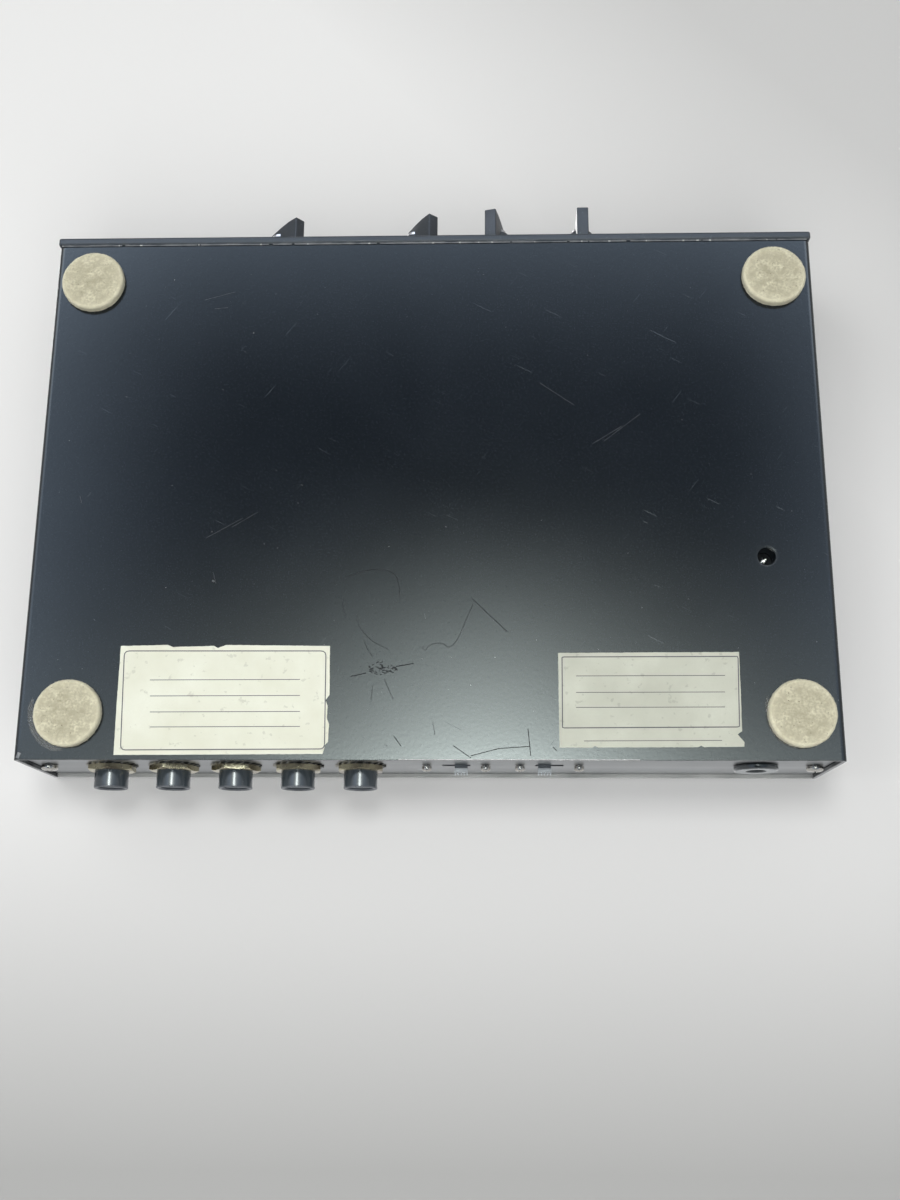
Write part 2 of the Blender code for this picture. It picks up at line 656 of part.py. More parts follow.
def make_case_screws():
    """Nickel screws in the rear panel's corners and black ones in the side walls."""
    for side, sign, facing in (("left", -1, LEFT), ("right", 1, RIGHT)):
        sizes = (M3_HEAD_RADIUS, M3_HEAD_HEIGHT, M3_SHANK_RADIUS)
        screw = pan_screw(f"rear_screw_{side}", *sizes, M3_SHANK_LENGTH, nickel)
        set_place(screw, corner_screw_place(sign, REAR_FACE + GAP), BACKWARD)
        through_both = GAP + SHEET + GAP + REAR_PANEL_THICKNESS
        screw = pan_screw(f"side_screw_{side}", *sizes, through_both, black_screw)
        set_place(screw, side_screw_place(sign * (HALF_WIDTH + GAP)), facing)


def make_jacks():
    """Five phone jacks, each a moulded body with a barrel through the panel and a hexagon nut."""
    half = JACK_BODY_WIDTH / 2
    for number, across in enumerate(jack_places(), 1):
        place = (across, REAR_FACE, SOCKET_HEIGHT)
        body = block(
            f"jack_{number}",
            (across - half, BEHIND_REAR - JACK_BODY_LENGTH, SOCKET_HEIGHT - half),
            (across + half, BEHIND_REAR, SOCKET_HEIGHT + half),
            gloss_black,
        )
        start = BEHIND_REAR - OVERRUN - REAR_FACE
        barrel = turned(
            f"barrel_guide_{number}",
            (
                (0, start),
                (BARREL_RADIUS, start),
                (BARREL_RADIUS, BARREL_REACH - BARREL_LIP),
                (BARREL_RADIUS - BARREL_LIP, BARREL_REACH),
                (0, BARREL_REACH),
            ),
        )
        join(body, set_place(barrel, place, BACKWARD))
        bore = turned(
            f"bore_guide_{number}",
            (
                (0, BARREL_REACH - JACK_BORE_DEPTH),
                (JACK_BORE_RADIUS, BARREL_REACH - JACK_BORE_DEPTH),
                (JACK_BORE_RADIUS, BARREL_REACH - JACK_MOUTH_DEPTH),
                (JACK_MOUTH_RADIUS, BARREL_REACH),
                (JACK_MOUTH_RADIUS, BARREL_REACH + OVERRUN),
                (0, BARREL_REACH + OVERRUN),
            ),
        )
        cut(body, set_place(bore, place, BACKWARD))
        make_jack_nut(number, place)


def make_jack_nut(number, place):
    corner = NUT_ACROSS_FLATS / math.sqrt(3)
    turn = number * NUT_TURN_STEP
    outline = arc((0, 0), corner, turn, turn + 360, NUT_SIDES)[:-1]
    high = NUT_LIFT + NUT_THICKNESS
    nut = prism(f"jack_nut_{number}", outline, NUT_LIFT, high, brass)
    set_place(nut, place, BACKWARD)
    worn = turned(
        f"nut_edge_guide_{number}",
        (
            (BARREL_RADIUS + GAP, NUT_LIFT - OVERRUN),
            (corner, NUT_LIFT - OVERRUN),
            (corner, high - NUT_CHAMFER),
            (corner - 2 * NUT_CHAMFER, high),
            (BARREL_RADIUS + GAP, high),
        ),
    )
    set_place(worn, place, BACKWARD)
    combine(nut, worn, "INTERSECT")


def make_slide_switches():
    """Two slide switches: a metal frame behind the panel, and a lever parked at one end."""
    half_width = SWITCH_FRAME_WIDTH / 2
    half_height = SWITCH_FRAME_HEIGHT / 2
    frame_front = BEHIND_REAR - SWITCH_FRAME_DEPTH
    channel_front = BEHIND_REAR - LEVER_FOOT_DEPTH - GAP
    channel_half = LEVER_FOOT_WIDTH / 2 + LEVER_TRAVEL / 2 + GAP
    channel_half_height = LEVER_FOOT_HEIGHT / 2 + GAP
    for name, across, parked in zip(SWITCH_NAMES, SWITCH_PLACES, SWITCH_PARKED_SIDES):
        frame = block(
            f"slide_switch_{name}",
            (across - half_width, frame_front, SOCKET_HEIGHT - half_height),
            (across + half_width, BEHIND_REAR, SOCKET_HEIGHT + half_height),
            steel,
        )
        channel = block(
            f"channel_guide_{name}",
            (across - channel_half, channel_front, SOCKET_HEIGHT - channel_half_height),
            (across + channel_half, BEHIND_REAR + OVERRUN, SOCKET_HEIGHT + channel_half_height),
        )
        cut(frame, channel)
        for end, sign in (("low", -1), ("high", 1)):
            place = (across + sign * SWITCH_SCREW_PITCH / 2, BEHIND_REAR, SOCKET_HEIGHT)
            hole_name = f"frame_hole_guide_{name}_{end}"
            hole = plug(hole_name, M2_SHANK_RADIUS + GAP, -M2_SHANK_LENGTH, OVERRUN, SMALL_SIDES)
            cut(frame, set_place(hole, place, BACKWARD))
        make_lever(name, across + parked * LEVER_TRAVEL / 2)
    for number, across in enumerate(switch_screw_places(), 1):
        sizes = (M2_HEAD_RADIUS, M2_HEAD_HEIGHT, M2_SHANK_RADIUS, M2_SHANK_LENGTH)
        screw = pan_screw(f"switch_screw_{number}", *sizes, nickel)
        set_place(screw, (across, REAR_FACE + GAP, SOCKET_HEIGHT), BACKWARD)


def make_lever(name, across):
    """A lever drawn from above: a wide foot behind the panel and a stem whose end has ridges."""
    foot_back = BEHIND_REAR - LEVER_FOOT_DEPTH - REAR_FACE
    foot_front = BEHIND_REAR - REAR_FACE
    half = LEVER_WIDTH / 2
    pitch = LEVER_WIDTH / (2 * LEVER_RIDGES - 1)
    ridges = []
    for number in range(LEVER_RIDGES):
        left = -half + 2 * number * pitch
        right = left + pitch
        ridges += [(left, LEVER_REACH), (right, LEVER_REACH)]
        if number < LEVER_RIDGES - 1:
            ridges += [(right, LEVER_REACH - RIDGE_DEPTH), (right + pitch, LEVER_REACH - RIDGE_DEPTH)]
    stem = prism(
        f"slide_lever_{name}",
        [(-half, foot_back + OVERLAP)] + ridges + [(half, foot_back + OVERLAP)],
        -LEVER_HEIGHT / 2,
        LEVER_HEIGHT / 2,
        grey_plastic,
    )
    place = (across, REAR_FACE, SOCKET_HEIGHT)
    set_place(stem, place)
    foot = block(
        f"lever_foot_guide_{name}",
        (across - LEVER_FOOT_WIDTH / 2, REAR_FACE + foot_back, SOCKET_HEIGHT - LEVER_FOOT_HEIGHT / 2),
        (across + LEVER_FOOT_WIDTH / 2, REAR_FACE + foot_front, SOCKET_HEIGHT + LEVER_FOOT_HEIGHT / 2),
    )
    join(stem, foot)


def make_inlet():
    """The supply socket: a round flange on the panel, a body behind it and a pin in its bore."""
    top = GAP + INLET_FLANGE_HEIGHT
    back = -REAR_PANEL_THICKNESS - INLET_BODY_DEPTH
    bore_end = top - INLET_BORE_DEPTH
    profile = (
        (0, back),
        (INLET_BODY_RADIUS, back),
        (INLET_BODY_RADIUS, GAP),
        (INLET_FLANGE_RADIUS, GAP),
        (INLET_FLANGE_RADIUS, top - INLET_MOUTH_CHAMFER),
        (INLET_FLANGE_RADIUS - INLET_MOUTH_CHAMFER, top),
        (INLET_BORE_RADIUS + INLET_MOUTH_CHAMFER, top),
        (INLET_BORE_RADIUS, top - INLET_MOUTH_CHAMFER),
        (INLET_BORE_RADIUS, bore_end),
        (INLET_PIN_RADIUS, bore_end),
        (INLET_PIN_RADIUS, top - INLET_PIN_SHORTFALL),
        (0, top - INLET_PIN_SHORTFALL),
    )
    inlet = turned("dc_inlet", profile, gloss_black)
    set_place(inlet, (INLET_PLACE, REAR_FACE, SOCKET_HEIGHT), BACKWARD)


def make_front_panel():
    """The thick front plate, which stands a little proud of the case all round."""
    half = HALF_WIDTH + FRONT_PANEL_OVERHANG
    panel = block(
        "front_panel",
        (-half, -FRONT_PANEL_THICKNESS, UNDERSIDE - FRONT_PANEL_OVERHANG),
        (half, 0, CASE_TOP + FRONT_PANEL_OVERHANG),
        satin_black,
    )
    bevel(panel, FRONT_PANEL_EDGE)
    radii = [(f"{name}_hole", place, POT_BUSHING_RADIUS) for name, place in zip(KNOB_NAMES, KNOB_PLACES)]
    radii += [("button_hole", BUTTON_PLACE, BUTTON_RADIUS), ("lamp_hole", LAMP_PLACE, LAMP_RADIUS)]
    for name, across, radius in radii:
        low, high = -OVERRUN, FRONT_PANEL_THICKNESS + OVERRUN
        hole = plug(f"{name}_guide", radius + GAP, low, high)
        cut(panel, set_place(hole, (across, 0, CONTROL_HEIGHT), FORWARD))


def make_controls():
    """Four potentiometers with their shafts, and the bar knobs on them."""
    for name, across, degrees, lift in zip(KNOB_NAMES, KNOB_PLACES, KNOB_TURNS, KNOB_LIFTS):
        place = (across, 0, CONTROL_HEIGHT)
        bushing_end = FRONT_PANEL_THICKNESS + POT_BUSHING_REACH
        bore = SHAFT_RADIUS + GAP
        pot = turned(
            f"{name}_pot",
            (
                (0, -GAP - POT_DEPTH),
                (POT_RADIUS, -GAP - POT_DEPTH),
                (POT_RADIUS, -GAP),
                (POT_BUSHING_RADIUS, -GAP),
                (POT_BUSHING_RADIUS, bushing_end),
                (bore, bushing_end),
                (bore, -SHAFT_SEAT_DEPTH - GAP),
                (0, -SHAFT_SEAT_DEPTH - GAP),
            ),
            steel,
        )
        set_place(pot, place, FORWARD)
        turn = math.radians(-degrees)
        base = FRONT_PANEL_THICKNESS + lift
        seat = -SHAFT_SEAT_DEPTH
        shaft_end = base + KNOB_SOCKET_DEPTH - GAP
        profile = ((0, seat), (SHAFT_RADIUS, seat), (SHAFT_RADIUS, shaft_end), (0, shaft_end))
        shaft = turned(f"{name}_shaft", profile, steel)
        set_place(shaft, place, FORWARD, turn)
        make_knob(name, (across, -base, CONTROL_HEIGHT), turn)


def make_knob(name, place, turn):
    """A conical skirt crossed by a bar, with a tall tail and a nose that slopes to the pointer end."""
    crown = arc(
        (KNOB_CROWN_RADIUS - KNOB_CROWN_ROUND, KNOB_CROWN_HEIGHT - KNOB_CROWN_ROUND),
        KNOB_CROWN_ROUND,
        0,
        90,
    )
    profile = [
        (SHAFT_RADIUS + GAP, KNOB_CAVITY_DEPTH),
        (KNOB_CAVITY_RADIUS, KNOB_CAVITY_DEPTH),
        (KNOB_CAVITY_RADIUS, 0),
        (KNOB_SKIRT_RADIUS, 0),
        (KNOB_SKIRT_RADIUS, KNOB_SKIRT_HEIGHT),
    ]
    profile += crown + [(SHAFT_RADIUS + GAP, KNOB_CROWN_HEIGHT)]
    knob = turned(f"{name}_knob", profile, satin_black, FINE_SIDES)
    set_place(knob, place, FORWARD, turn)
    length = 2 * KNOB_BAR_HALF_LENGTH
    ridge = [(along * length - KNOB_BAR_HALF_LENGTH, up * KNOB_HEIGHT) for along, up in KNOB_BAR_SHARES]
    outline = [(-KNOB_BAR_HALF_LENGTH, KNOB_BAR_START)] + ridge + [(KNOB_BAR_HALF_LENGTH, KNOB_BAR_START)]
    bar = prism(f"{name}_bar_guide", outline, -KNOB_BAR_WIDTH / 2, KNOB_BAR_WIDTH / 2)
    bevel(bar, KNOB_BAR_EDGE, 1)
    along_bar = Matrix.Rotation(turn + math.pi / 2, 4, "Z")
    set_place(bar, place, FORWARD @ along_bar @ FORWARD)
    hollow = turned(
        f"{name}_hollow_guide",
        (
            (0, -OVERRUN),
            (KNOB_CAVITY_RADIUS, -OVERRUN),
            (KNOB_CAVITY_RADIUS, KNOB_CAVITY_DEPTH),
            (SHAFT_RADIUS + GAP, KNOB_CAVITY_DEPTH),
            (SHAFT_RADIUS + GAP, KNOB_SOCKET_DEPTH),
            (0, KNOB_SOCKET_DEPTH),
        ),
        sides=FINE_SIDES,
    )
    set_place(hollow, place, FORWARD, turn)
    cut(bar, hollow)
    join(knob, bar)


def make_power_controls():
    """A round push button, the switch that it works and the lamp beside it."""
    place = (BUTTON_PLACE, 0, CONTROL_HEIGHT)
    face = FRONT_PANEL_THICKNESS + BUTTON_REACH
    profile = (
        (0, -BUTTON_STEM_LENGTH),
        (BUTTON_STEM_RADIUS, -BUTTON_STEM_LENGTH),
        (BUTTON_STEM_RADIUS, 0),
        (BUTTON_RADIUS, 0),
        (BUTTON_RADIUS, face - BUTTON_EDGE),
        (BUTTON_RADIUS - BUTTON_EDGE, face),
        (0, face),
    )
    set_place(turned("power_button", profile, satin_black), place, FORWARD)
    half = POWER_SWITCH_WIDTH / 2
    body = block(
        "power_switch",
        (BUTTON_PLACE - half, GAP, CONTROL_HEIGHT - half),
        (BUTTON_PLACE + half, GAP + POWER_SWITCH_DEPTH, CONTROL_HEIGHT + half),
        gloss_black,
    )
    pocket = -BUTTON_TRAVEL - 2 * GAP
    stem_room = -BUTTON_STEM_LENGTH - BUTTON_TRAVEL - 2 * GAP
    bore = turned(
        "power_bore_guide",
        (
            (0, stem_room),
            (BUTTON_STEM_RADIUS + GAP, stem_room),
            (BUTTON_STEM_RADIUS + GAP, pocket),
            (BUTTON_RADIUS + GAP, pocket),
            (BUTTON_RADIUS + GAP, OVERRUN),
            (0, OVERRUN),
        ),
    )
    cut(body, set_place(bore, place, FORWARD))
    face = FRONT_PANEL_THICKNESS + LAMP_REACH
    dome = arc((0, face - LAMP_RADIUS), LAMP_RADIUS, 0, 90)[:-1]
    profile = [
        (0, -GAP - LAMP_FLANGE_DEPTH),
        (LAMP_FLANGE_RADIUS, -GAP - LAMP_FLANGE_DEPTH),
        (LAMP_FLANGE_RADIUS, -GAP),
        (LAMP_RADIUS, -GAP),
    ]
    lamp = turned("power_lamp", profile + dome + [(0, face)], red_lens)
    set_place(lamp, (LAMP_PLACE, 0, CONTROL_HEIGHT), FORWARD)


def make_board():
    """The circuit board on its posts, and the trimmer under it that is set through the hole in the case."""
    block(
        "circuit_board",
        (BOARD_LEFT, BOARD_FRONT, BOARD_UNDERSIDE),
        (BOARD_RIGHT, BOARD_REAR, BOARD_UNDERSIDE + BOARD_THICKNESS),
        board_green,
    )
    across, depth = TRIMMER_PLACE
    half = TRIMMER_WIDTH / 2
    high = BOARD_UNDERSIDE - GAP
    low = high - TRIMMER_HEIGHT
    near, far = (across - half, depth - half, low), (across + half, depth + half, high)
    body = block("trimmer", near, far, white_plastic)
    recess_top = low - ROTOR_PROUD + ROTOR_THICKNESS + GAP
    recess = plug("rotor_recess_guide", ROTOR_RADIUS + GAP, low - OVERRUN, recess_top)
    cut(body, set_place(recess, (across, depth, 0)))
    rotor_low = low - ROTOR_PROUD
    profile = ((0, 0), (ROTOR_RADIUS, 0), (ROTOR_RADIUS, ROTOR_THICKNESS), (0, ROTOR_THICKNESS))
    rotor = turned("trimmer_rotor", profile, nickel)
    set_place(rotor, (across, depth, rotor_low))
    slot = block(
        "rotor_slot_guide",
        (across - ROTOR_RADIUS - OVERRUN, depth - ROTOR_SLOT_WIDTH / 2, rotor_low - OVERRUN),
        (across + ROTOR_RADIUS + OVERRUN, depth + ROTOR_SLOT_WIDTH / 2, rotor_low + ROTOR_SLOT_DEPTH),
    )
    cut(rotor, slot)


def make_deck():
    """The plate that the tape runs on, with the reel's spindle and the pinch arm's pivot standing on it."""
    deck = block(
        "deck_plate",
        (DECK_LEFT, DECK_FRONT, DECK_UNDERSIDE),
        (DECK_RIGHT, DECK_REAR, DECK_TOP),
        steel,
    )
    middle = DECK_TOP - DECK_THICKNESS / 2
    spindle = plug("spindle_guide", SPINDLE_RADIUS, middle, DECK_TOP + SPINDLE_HEIGHT, SMALL_SIDES)
    pivot = plug("pivot_guide", PIVOT_RADIUS, middle, DECK_TOP + PIVOT_HEIGHT, SMALL_SIDES)
    join(deck, set_place(spindle, (*REEL_PLACE, 0)), set_place(pivot, (*PIVOT_PLACE, 0)))
    low, high = DECK_UNDERSIDE - OVERRUN, DECK_TOP + OVERRUN
    bearing = plug("bearing_guide", CAPSTAN_RADIUS + GAP, low, high, SMALL_SIDES)
    cut(deck, set_place(bearing, (*CAPSTAN_PLACE, 0)))


def make_drive():
    """The flywheel with the capstan through it, the motor, its pulley and the belt between them."""
    groove_low = BELT_HEIGHT - GROOVE_WIDTH / 2
    groove_high = BELT_HEIGHT + GROOVE_WIDTH / 2
    profile = (
        (0, FLOOR_TOP + GAP),
        (CAPSTAN_RADIUS, FLOOR_TOP + GAP),
        (CAPSTAN_RADIUS, FLYWHEEL_LOW),
        (FLYWHEEL_RADIUS, FLYWHEEL_LOW),
        (FLYWHEEL_RADIUS, groove_low),
        (FLYWHEEL_RADIUS - GROOVE_DEPTH, groove_low),
        (FLYWHEEL_RADIUS - GROOVE_DEPTH, groove_high),
        (FLYWHEEL_RADIUS, groove_high),
        (FLYWHEEL_RADIUS, FLYWHEEL_HIGH),
        (FLYWHEEL_HUB_RADIUS, FLYWHEEL_HIGH),
        (FLYWHEEL_HUB_RADIUS, FLYWHEEL_HUB_HIGH),
        (CAPSTAN_RADIUS, FLYWHEEL_HUB_HIGH),
        (CAPSTAN_RADIUS, CAPSTAN_TOP),
        (0, CAPSTAN_TOP),
    )
    set_place(turned("flywheel", profile, brass, FINE_SIDES), (*CAPSTAN_PLACE, 0))
    bore = MOTOR_SHAFT_RADIUS + GAP
    high = DECK_UNDERSIDE - GAP
    profile = (
        (0, high),
        (MOTOR_RADIUS - MOTOR_EDGE, high),
        (MOTOR_RADIUS, high - MOTOR_EDGE),
        (MOTOR_RADIUS, MOTOR_LOW + MOTOR_EDGE),
        (MOTOR_RADIUS - MOTOR_EDGE, MOTOR_LOW),
        (bore, MOTOR_LOW),
        (bore, MOTOR_SHAFT_HIGH + GAP),
        (0, MOTOR_SHAFT_HIGH + GAP),
    )
    set_place(turned("motor", profile, steel, FINE_SIDES), (*MOTOR_PLACE, 0))
    profile = (
        (0, PULLEY_LOW),
        (PULLEY_RADIUS, PULLEY_LOW),
        (PULLEY_RADIUS, groove_low),
        (PULLEY_RADIUS - GROOVE_DEPTH, groove_low),
        (PULLEY_RADIUS - GROOVE_DEPTH, groove_high),
        (PULLEY_RADIUS, groove_high),
        (PULLEY_RADIUS, PULLEY_HIGH),
        (MOTOR_SHAFT_RADIUS, PULLEY_HIGH),
        (MOTOR_SHAFT_RADIUS, MOTOR_SHAFT_HIGH),
        (0, MOTOR_SHAFT_HIGH),
    )
    set_place(turned("motor_pulley", profile, brass), (*MOTOR_PLACE, 0))
    make_belt()


def make_belt():
    """A flat loop that lies in the grooves of the flywheel and the pulley."""
    inside = belt_loop(0)
    outside = belt_loop(BELT_THICKNESS)
    half = GROOVE_WIDTH / 2 - GAP
    shape = bmesh.new()
    rings = []
    for loop, height in ((inside, -half), (outside, -half), (outside, half), (inside, half)):
        rings.append([shape.verts.new((x, y, BELT_HEIGHT + height)) for x, y in loop])
    count = len(inside)
    for first, second in zip(rings, rings[1:] + rings[:1]):
        for k in range(count):
            after = (k + 1) % count
            shape.faces.new((first[k], first[after], second[after], second[k]))
    set_place(smooth(add_object("drive_belt", shape, rubber)), (0, 0, 0))


def belt_loop(extra):
    """The loop round both grooves, this far outside the belt's inner face."""
    large = FLYWHEEL_RADIUS - GROOVE_DEPTH + GAP + extra
    small = PULLEY_RADIUS - GROOVE_DEPTH + GAP + extra
    run = Vector(MOTOR_PLACE) - Vector(CAPSTAN_PLACE)
    heading = math.degrees(math.atan2(run.y, run.x))
    spread = math.degrees(math.acos((large - small) / run.length))
    steps = 3 * ARC_STEPS
    wheel = arc(CAPSTAN_PLACE, large, heading + spread, heading + 360 - spread, 2 * steps)
    pulley = arc(MOTOR_PLACE, small, heading - spread, heading + spread, steps)
    return wheel + pulley


def make_pinch():
    """The pinch roller on its arm, which swings away from the capstan about the deck's pivot."""
    run = Vector(PINCH_PLACE) - Vector(PIVOT_PLACE)
    heading = math.degrees(math.atan2(run.y, run.x))
    ends = arc((run.x, run.y), ARM_HALF_WIDTH, heading - 90, heading + 90, 2 * ARC_STEPS)
    ends += arc((0, 0), ARM_HALF_WIDTH, heading + 90, heading + 270, 2 * ARC_STEPS)
    low = DECK_TOP + ARM_LIFT
    high = low + ARM_THICKNESS
    arm = prism("pinch_arm", ends, low, high, steel)
    set_place(arm, (*PIVOT_PLACE, 0))
    hole = plug("arm_hole_guide", PIVOT_RADIUS + GAP, low - OVERRUN, high + OVERRUN, SMALL_SIDES)
    cut(arm, set_place(hole, (*PIVOT_PLACE, 0)))
    roller_low = high + GAP
    roller_high = roller_low + PINCH_HEIGHT
    pin_high = roller_high + PINCH_PIN_SPARE
    pin = plug("roller_pin_guide", PINCH_PIN_RADIUS, low + ARM_THICKNESS / 2, pin_high, SMALL_SIDES)
    join(arm, set_place(pin, (*PINCH_PLACE, 0)))
    bore = PINCH_PIN_RADIUS + GAP
    outer = PINCH_RADIUS
    profile = ((bore, roller_low), (outer, roller_low), (outer, roller_high), (bore, roller_high))
    set_place(turned("pinch_roller", profile, rubber), (*PINCH_PLACE, 0))


def make_heads():
    """Erase, record and playback heads on one block, their noses just off the tape's path."""
    nose = CAPSTAN_PLACE[1] - CAPSTAN_RADIUS - 2 * GAP
    rear = nose - GAP
    low = DECK_TOP + GAP
    high = low + HEAD_BLOCK_THICKNESS
    heads = block(
        "head_block",
        (HEAD_BLOCK_LEFT, rear - HEAD_BLOCK_DEPTH, low),
        (HEAD_BLOCK_RIGHT, rear, high),
        bare_aluminium,
    )
    pitch = HEAD_BLOCK_WIDTH / HEAD_COUNT
    half = HEAD_WIDTH / 2
    shoulder = nose - HEAD_NOSE_DEPTH
    for number in range(HEAD_COUNT):
        across = HEAD_BLOCK_LEFT + (number + 1 / 2) * pitch
        outline = [
            (across + half, shoulder),
            (across + half / 2, nose - HEAD_NOSE_DEPTH / 3),
            (across + half / 6, nose),
            (across - half / 6, nose),
            (across - half / 2, nose - HEAD_NOSE_DEPTH / 3),
            (across - half, shoulder),
            (across - half, nose - HEAD_DEPTH),
            (across + half, nose - HEAD_DEPTH),
        ]
        guide = prism(f"head_guide_{number + 1}", outline, high - OVERLAP, high + HEAD_HEIGHT)
        join(heads, guide)


def make_cartridge():
    """The endless loop cartridge: a shell open below over its reel, with a window in its top."""
    low = DECK_TOP + GAP
    high = low + CARTRIDGE_HEIGHT
    shell = block(
        "tape_cartridge",
        (CARTRIDGE_LEFT, CARTRIDGE_FRONT, low),
        (CARTRIDGE_RIGHT, CARTRIDGE_REAR, high),
        white_plastic,
    )
    reel_low = low + GAP
    reel_high = reel_low + REEL_HEIGHT
    ceiling = reel_high + REEL_FLANGE_HEIGHT + GAP
    pocket = plug("reel_pocket_guide", REEL_RADIUS + GAP, low - OVERRUN, ceiling, FINE_SIDES)
    cut(shell, set_place(pocket, (*REEL_PLACE, 0)))
    notch = plug("capstan_notch_guide", CARTRIDGE_NOTCH_RADIUS, low - OVERRUN, high + OVERRUN)
    cut(shell, set_place(notch, (*CAPSTAN_PLACE, 0)))
    across, depth = REEL_PLACE
    window = block(
        "window_guide",
        (across - WINDOW_WIDTH / 2, depth - WINDOW_DEPTH / 2, reel_high),
        (across + WINDOW_WIDTH / 2, depth + WINDOW_DEPTH / 2, high + OVERRUN),
    )
    cut(shell, window)
    bore = SPINDLE_RADIUS + GAP
    profile = (
        (bore, reel_low),
        (REEL_RADIUS, reel_low),
        (REEL_RADIUS, reel_high),
        (REEL_FLANGE_RADIUS, reel_high),
        (REEL_FLANGE_RADIUS, reel_high + REEL_FLANGE_HEIGHT),
        (bore, reel_high + REEL_FLANGE_HEIGHT),
    )
    set_place(turned("tape_reel", profile, tape_brown, FINE_SIDES), (*REEL_PLACE, 0))


clear_scene()
unit = bpy.data.objects.new("echo_unit", None)
bpy.context.scene.collection.objects.link(unit)
unit.location = (0, (FRONT_REACH - REAR_REACH) / 2, 0)

black_steel = finish("black_steel", (0.018, 0.020, 0.026), 0.42)
satin_black = finish("satin_black", (0.016, 0.017, 0.020), 0.45)
gloss_black = finish("gloss_black", (0.008, 0.008, 0.010), 0.12)
bare_aluminium = finish("bare_aluminium", (0.62, 0.63, 0.65), 0.38, 1.0)
nickel = finish("nickel", (0.66, 0.64, 0.60), 0.22, 1.0)
black_screw = finish("black_screw", (0.03, 0.03, 0.032), 0.35, 1.0)
brass = finish("brass", (0.72, 0.50, 0.22), 0.28, 1.0)
steel = finish("steel", (0.50, 0.50, 0.51), 0.40, 1.0)
grey_plastic = finish("grey_plastic", (0.55, 0.56, 0.57), 0.50)
white_plastic = finish("white_plastic", (0.72, 0.70, 0.64), 0.45)
felt = finish("felt", (0.50, 0.48, 0.43), 0.95)
rubber = finish("rubber", (0.02, 0.02, 0.02), 0.80)
red_lens = finish("red_lens", (0.45, 0.02, 0.02), 0.15)
board_green = finish("board_green", (0.05, 0.20, 0.08), 0.45)
tape_brown = finish("tape_brown", (0.09, 0.045, 0.03), 0.30)

make_feet()
make_bottom_cover()
make_top_cover()
make_tape_lid()
make_rear_panel()
make_case_screws()
make_jacks()
make_slide_switches()
make_inlet()
make_front_panel()
make_controls()
make_power_controls()
make_board()
make_deck()
make_drive()
make_pinch()
make_heads()
make_cartridge()
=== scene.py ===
# %% [markdown]
# # Dressing a small tape echo unit
# The unit is a flat steel case with knobs on its front, jacks and switches on its rear and
# felt pads under it. The CAD frame already holds every working piece at its true size, so this
# lesson only adds what the eye wants: finer turned and pressed shapes, finishes and light.
# The frame is loaded first, and its box is kept, because nothing here may outgrow it.

# %% Load the frame
import json
import math
import random

import bmesh
import bpy
from mathutils import Euler, Matrix, Vector, noise


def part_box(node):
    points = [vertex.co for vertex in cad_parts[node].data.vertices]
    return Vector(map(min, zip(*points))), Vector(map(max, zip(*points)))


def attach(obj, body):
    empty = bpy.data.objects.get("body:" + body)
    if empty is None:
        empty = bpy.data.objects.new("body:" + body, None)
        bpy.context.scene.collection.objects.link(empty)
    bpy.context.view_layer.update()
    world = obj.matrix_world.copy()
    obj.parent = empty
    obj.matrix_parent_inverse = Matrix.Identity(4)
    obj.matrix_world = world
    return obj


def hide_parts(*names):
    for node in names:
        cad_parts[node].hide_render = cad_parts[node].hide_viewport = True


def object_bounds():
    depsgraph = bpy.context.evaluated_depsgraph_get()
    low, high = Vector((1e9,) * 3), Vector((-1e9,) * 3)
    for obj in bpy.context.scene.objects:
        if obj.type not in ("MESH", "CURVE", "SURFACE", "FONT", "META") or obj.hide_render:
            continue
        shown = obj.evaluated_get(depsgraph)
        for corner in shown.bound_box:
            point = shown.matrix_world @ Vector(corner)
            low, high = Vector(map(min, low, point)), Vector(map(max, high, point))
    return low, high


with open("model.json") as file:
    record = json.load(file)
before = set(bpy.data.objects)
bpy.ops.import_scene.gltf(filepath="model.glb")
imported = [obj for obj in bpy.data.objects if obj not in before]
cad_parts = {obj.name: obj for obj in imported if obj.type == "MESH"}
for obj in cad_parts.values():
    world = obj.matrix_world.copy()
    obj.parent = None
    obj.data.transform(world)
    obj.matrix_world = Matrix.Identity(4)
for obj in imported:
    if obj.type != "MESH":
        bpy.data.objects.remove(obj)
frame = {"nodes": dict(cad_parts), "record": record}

CAD_BOX = [list(corner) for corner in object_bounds()]
print("CAD box in mm:", [[round(1000 * value, 1) for value in corner] for corner in CAD_BOX])

# %% [markdown]
# ## The camera
# The picture looks up at the underside from behind the rear panel. A camera could be aimed by
# an empty and a constraint, but a solved camera is kept as what it is: a place, three angles
# and a lens. The picture is upright, 900 by 1200 pixels, and Blender's sensor width goes along
# its long side. The same numbers also turn a point of the picture into a place on the
# underside, which later puts each scratch and label where it belongs.

# %% The camera and its view of the underside
PICTURE_WIDTH = 900
PICTURE_HEIGHT = 1200
SENSOR = 36.0
LENS = 39.466
CAMERA_PLACE = Vector((0.018858, 0.156332, -0.404201))
CAMERA_TILT = math.radians(195.2571)
CAMERA_LEAN = math.radians(-1.5774)
CAMERA_TURN = math.radians(-0.3118)
NEAREST_SEEN = 0.01

camera_angles = Euler((CAMERA_TILT, CAMERA_LEAN, CAMERA_TURN), "XYZ")
camera_right, camera_up, camera_back = camera_angles.to_matrix().transposed()
camera = bpy.data.objects.new("camera", bpy.data.cameras.new("camera"))
bpy.context.scene.collection.objects.link(camera)
camera.data.sensor_fit = "AUTO"
camera.data.sensor_width = SENSOR
camera.data.lens = LENS
camera.data.clip_start = NEAREST_SEEN
camera.location = CAMERA_PLACE
camera.rotation_euler = camera_angles
bpy.context.scene.camera = camera

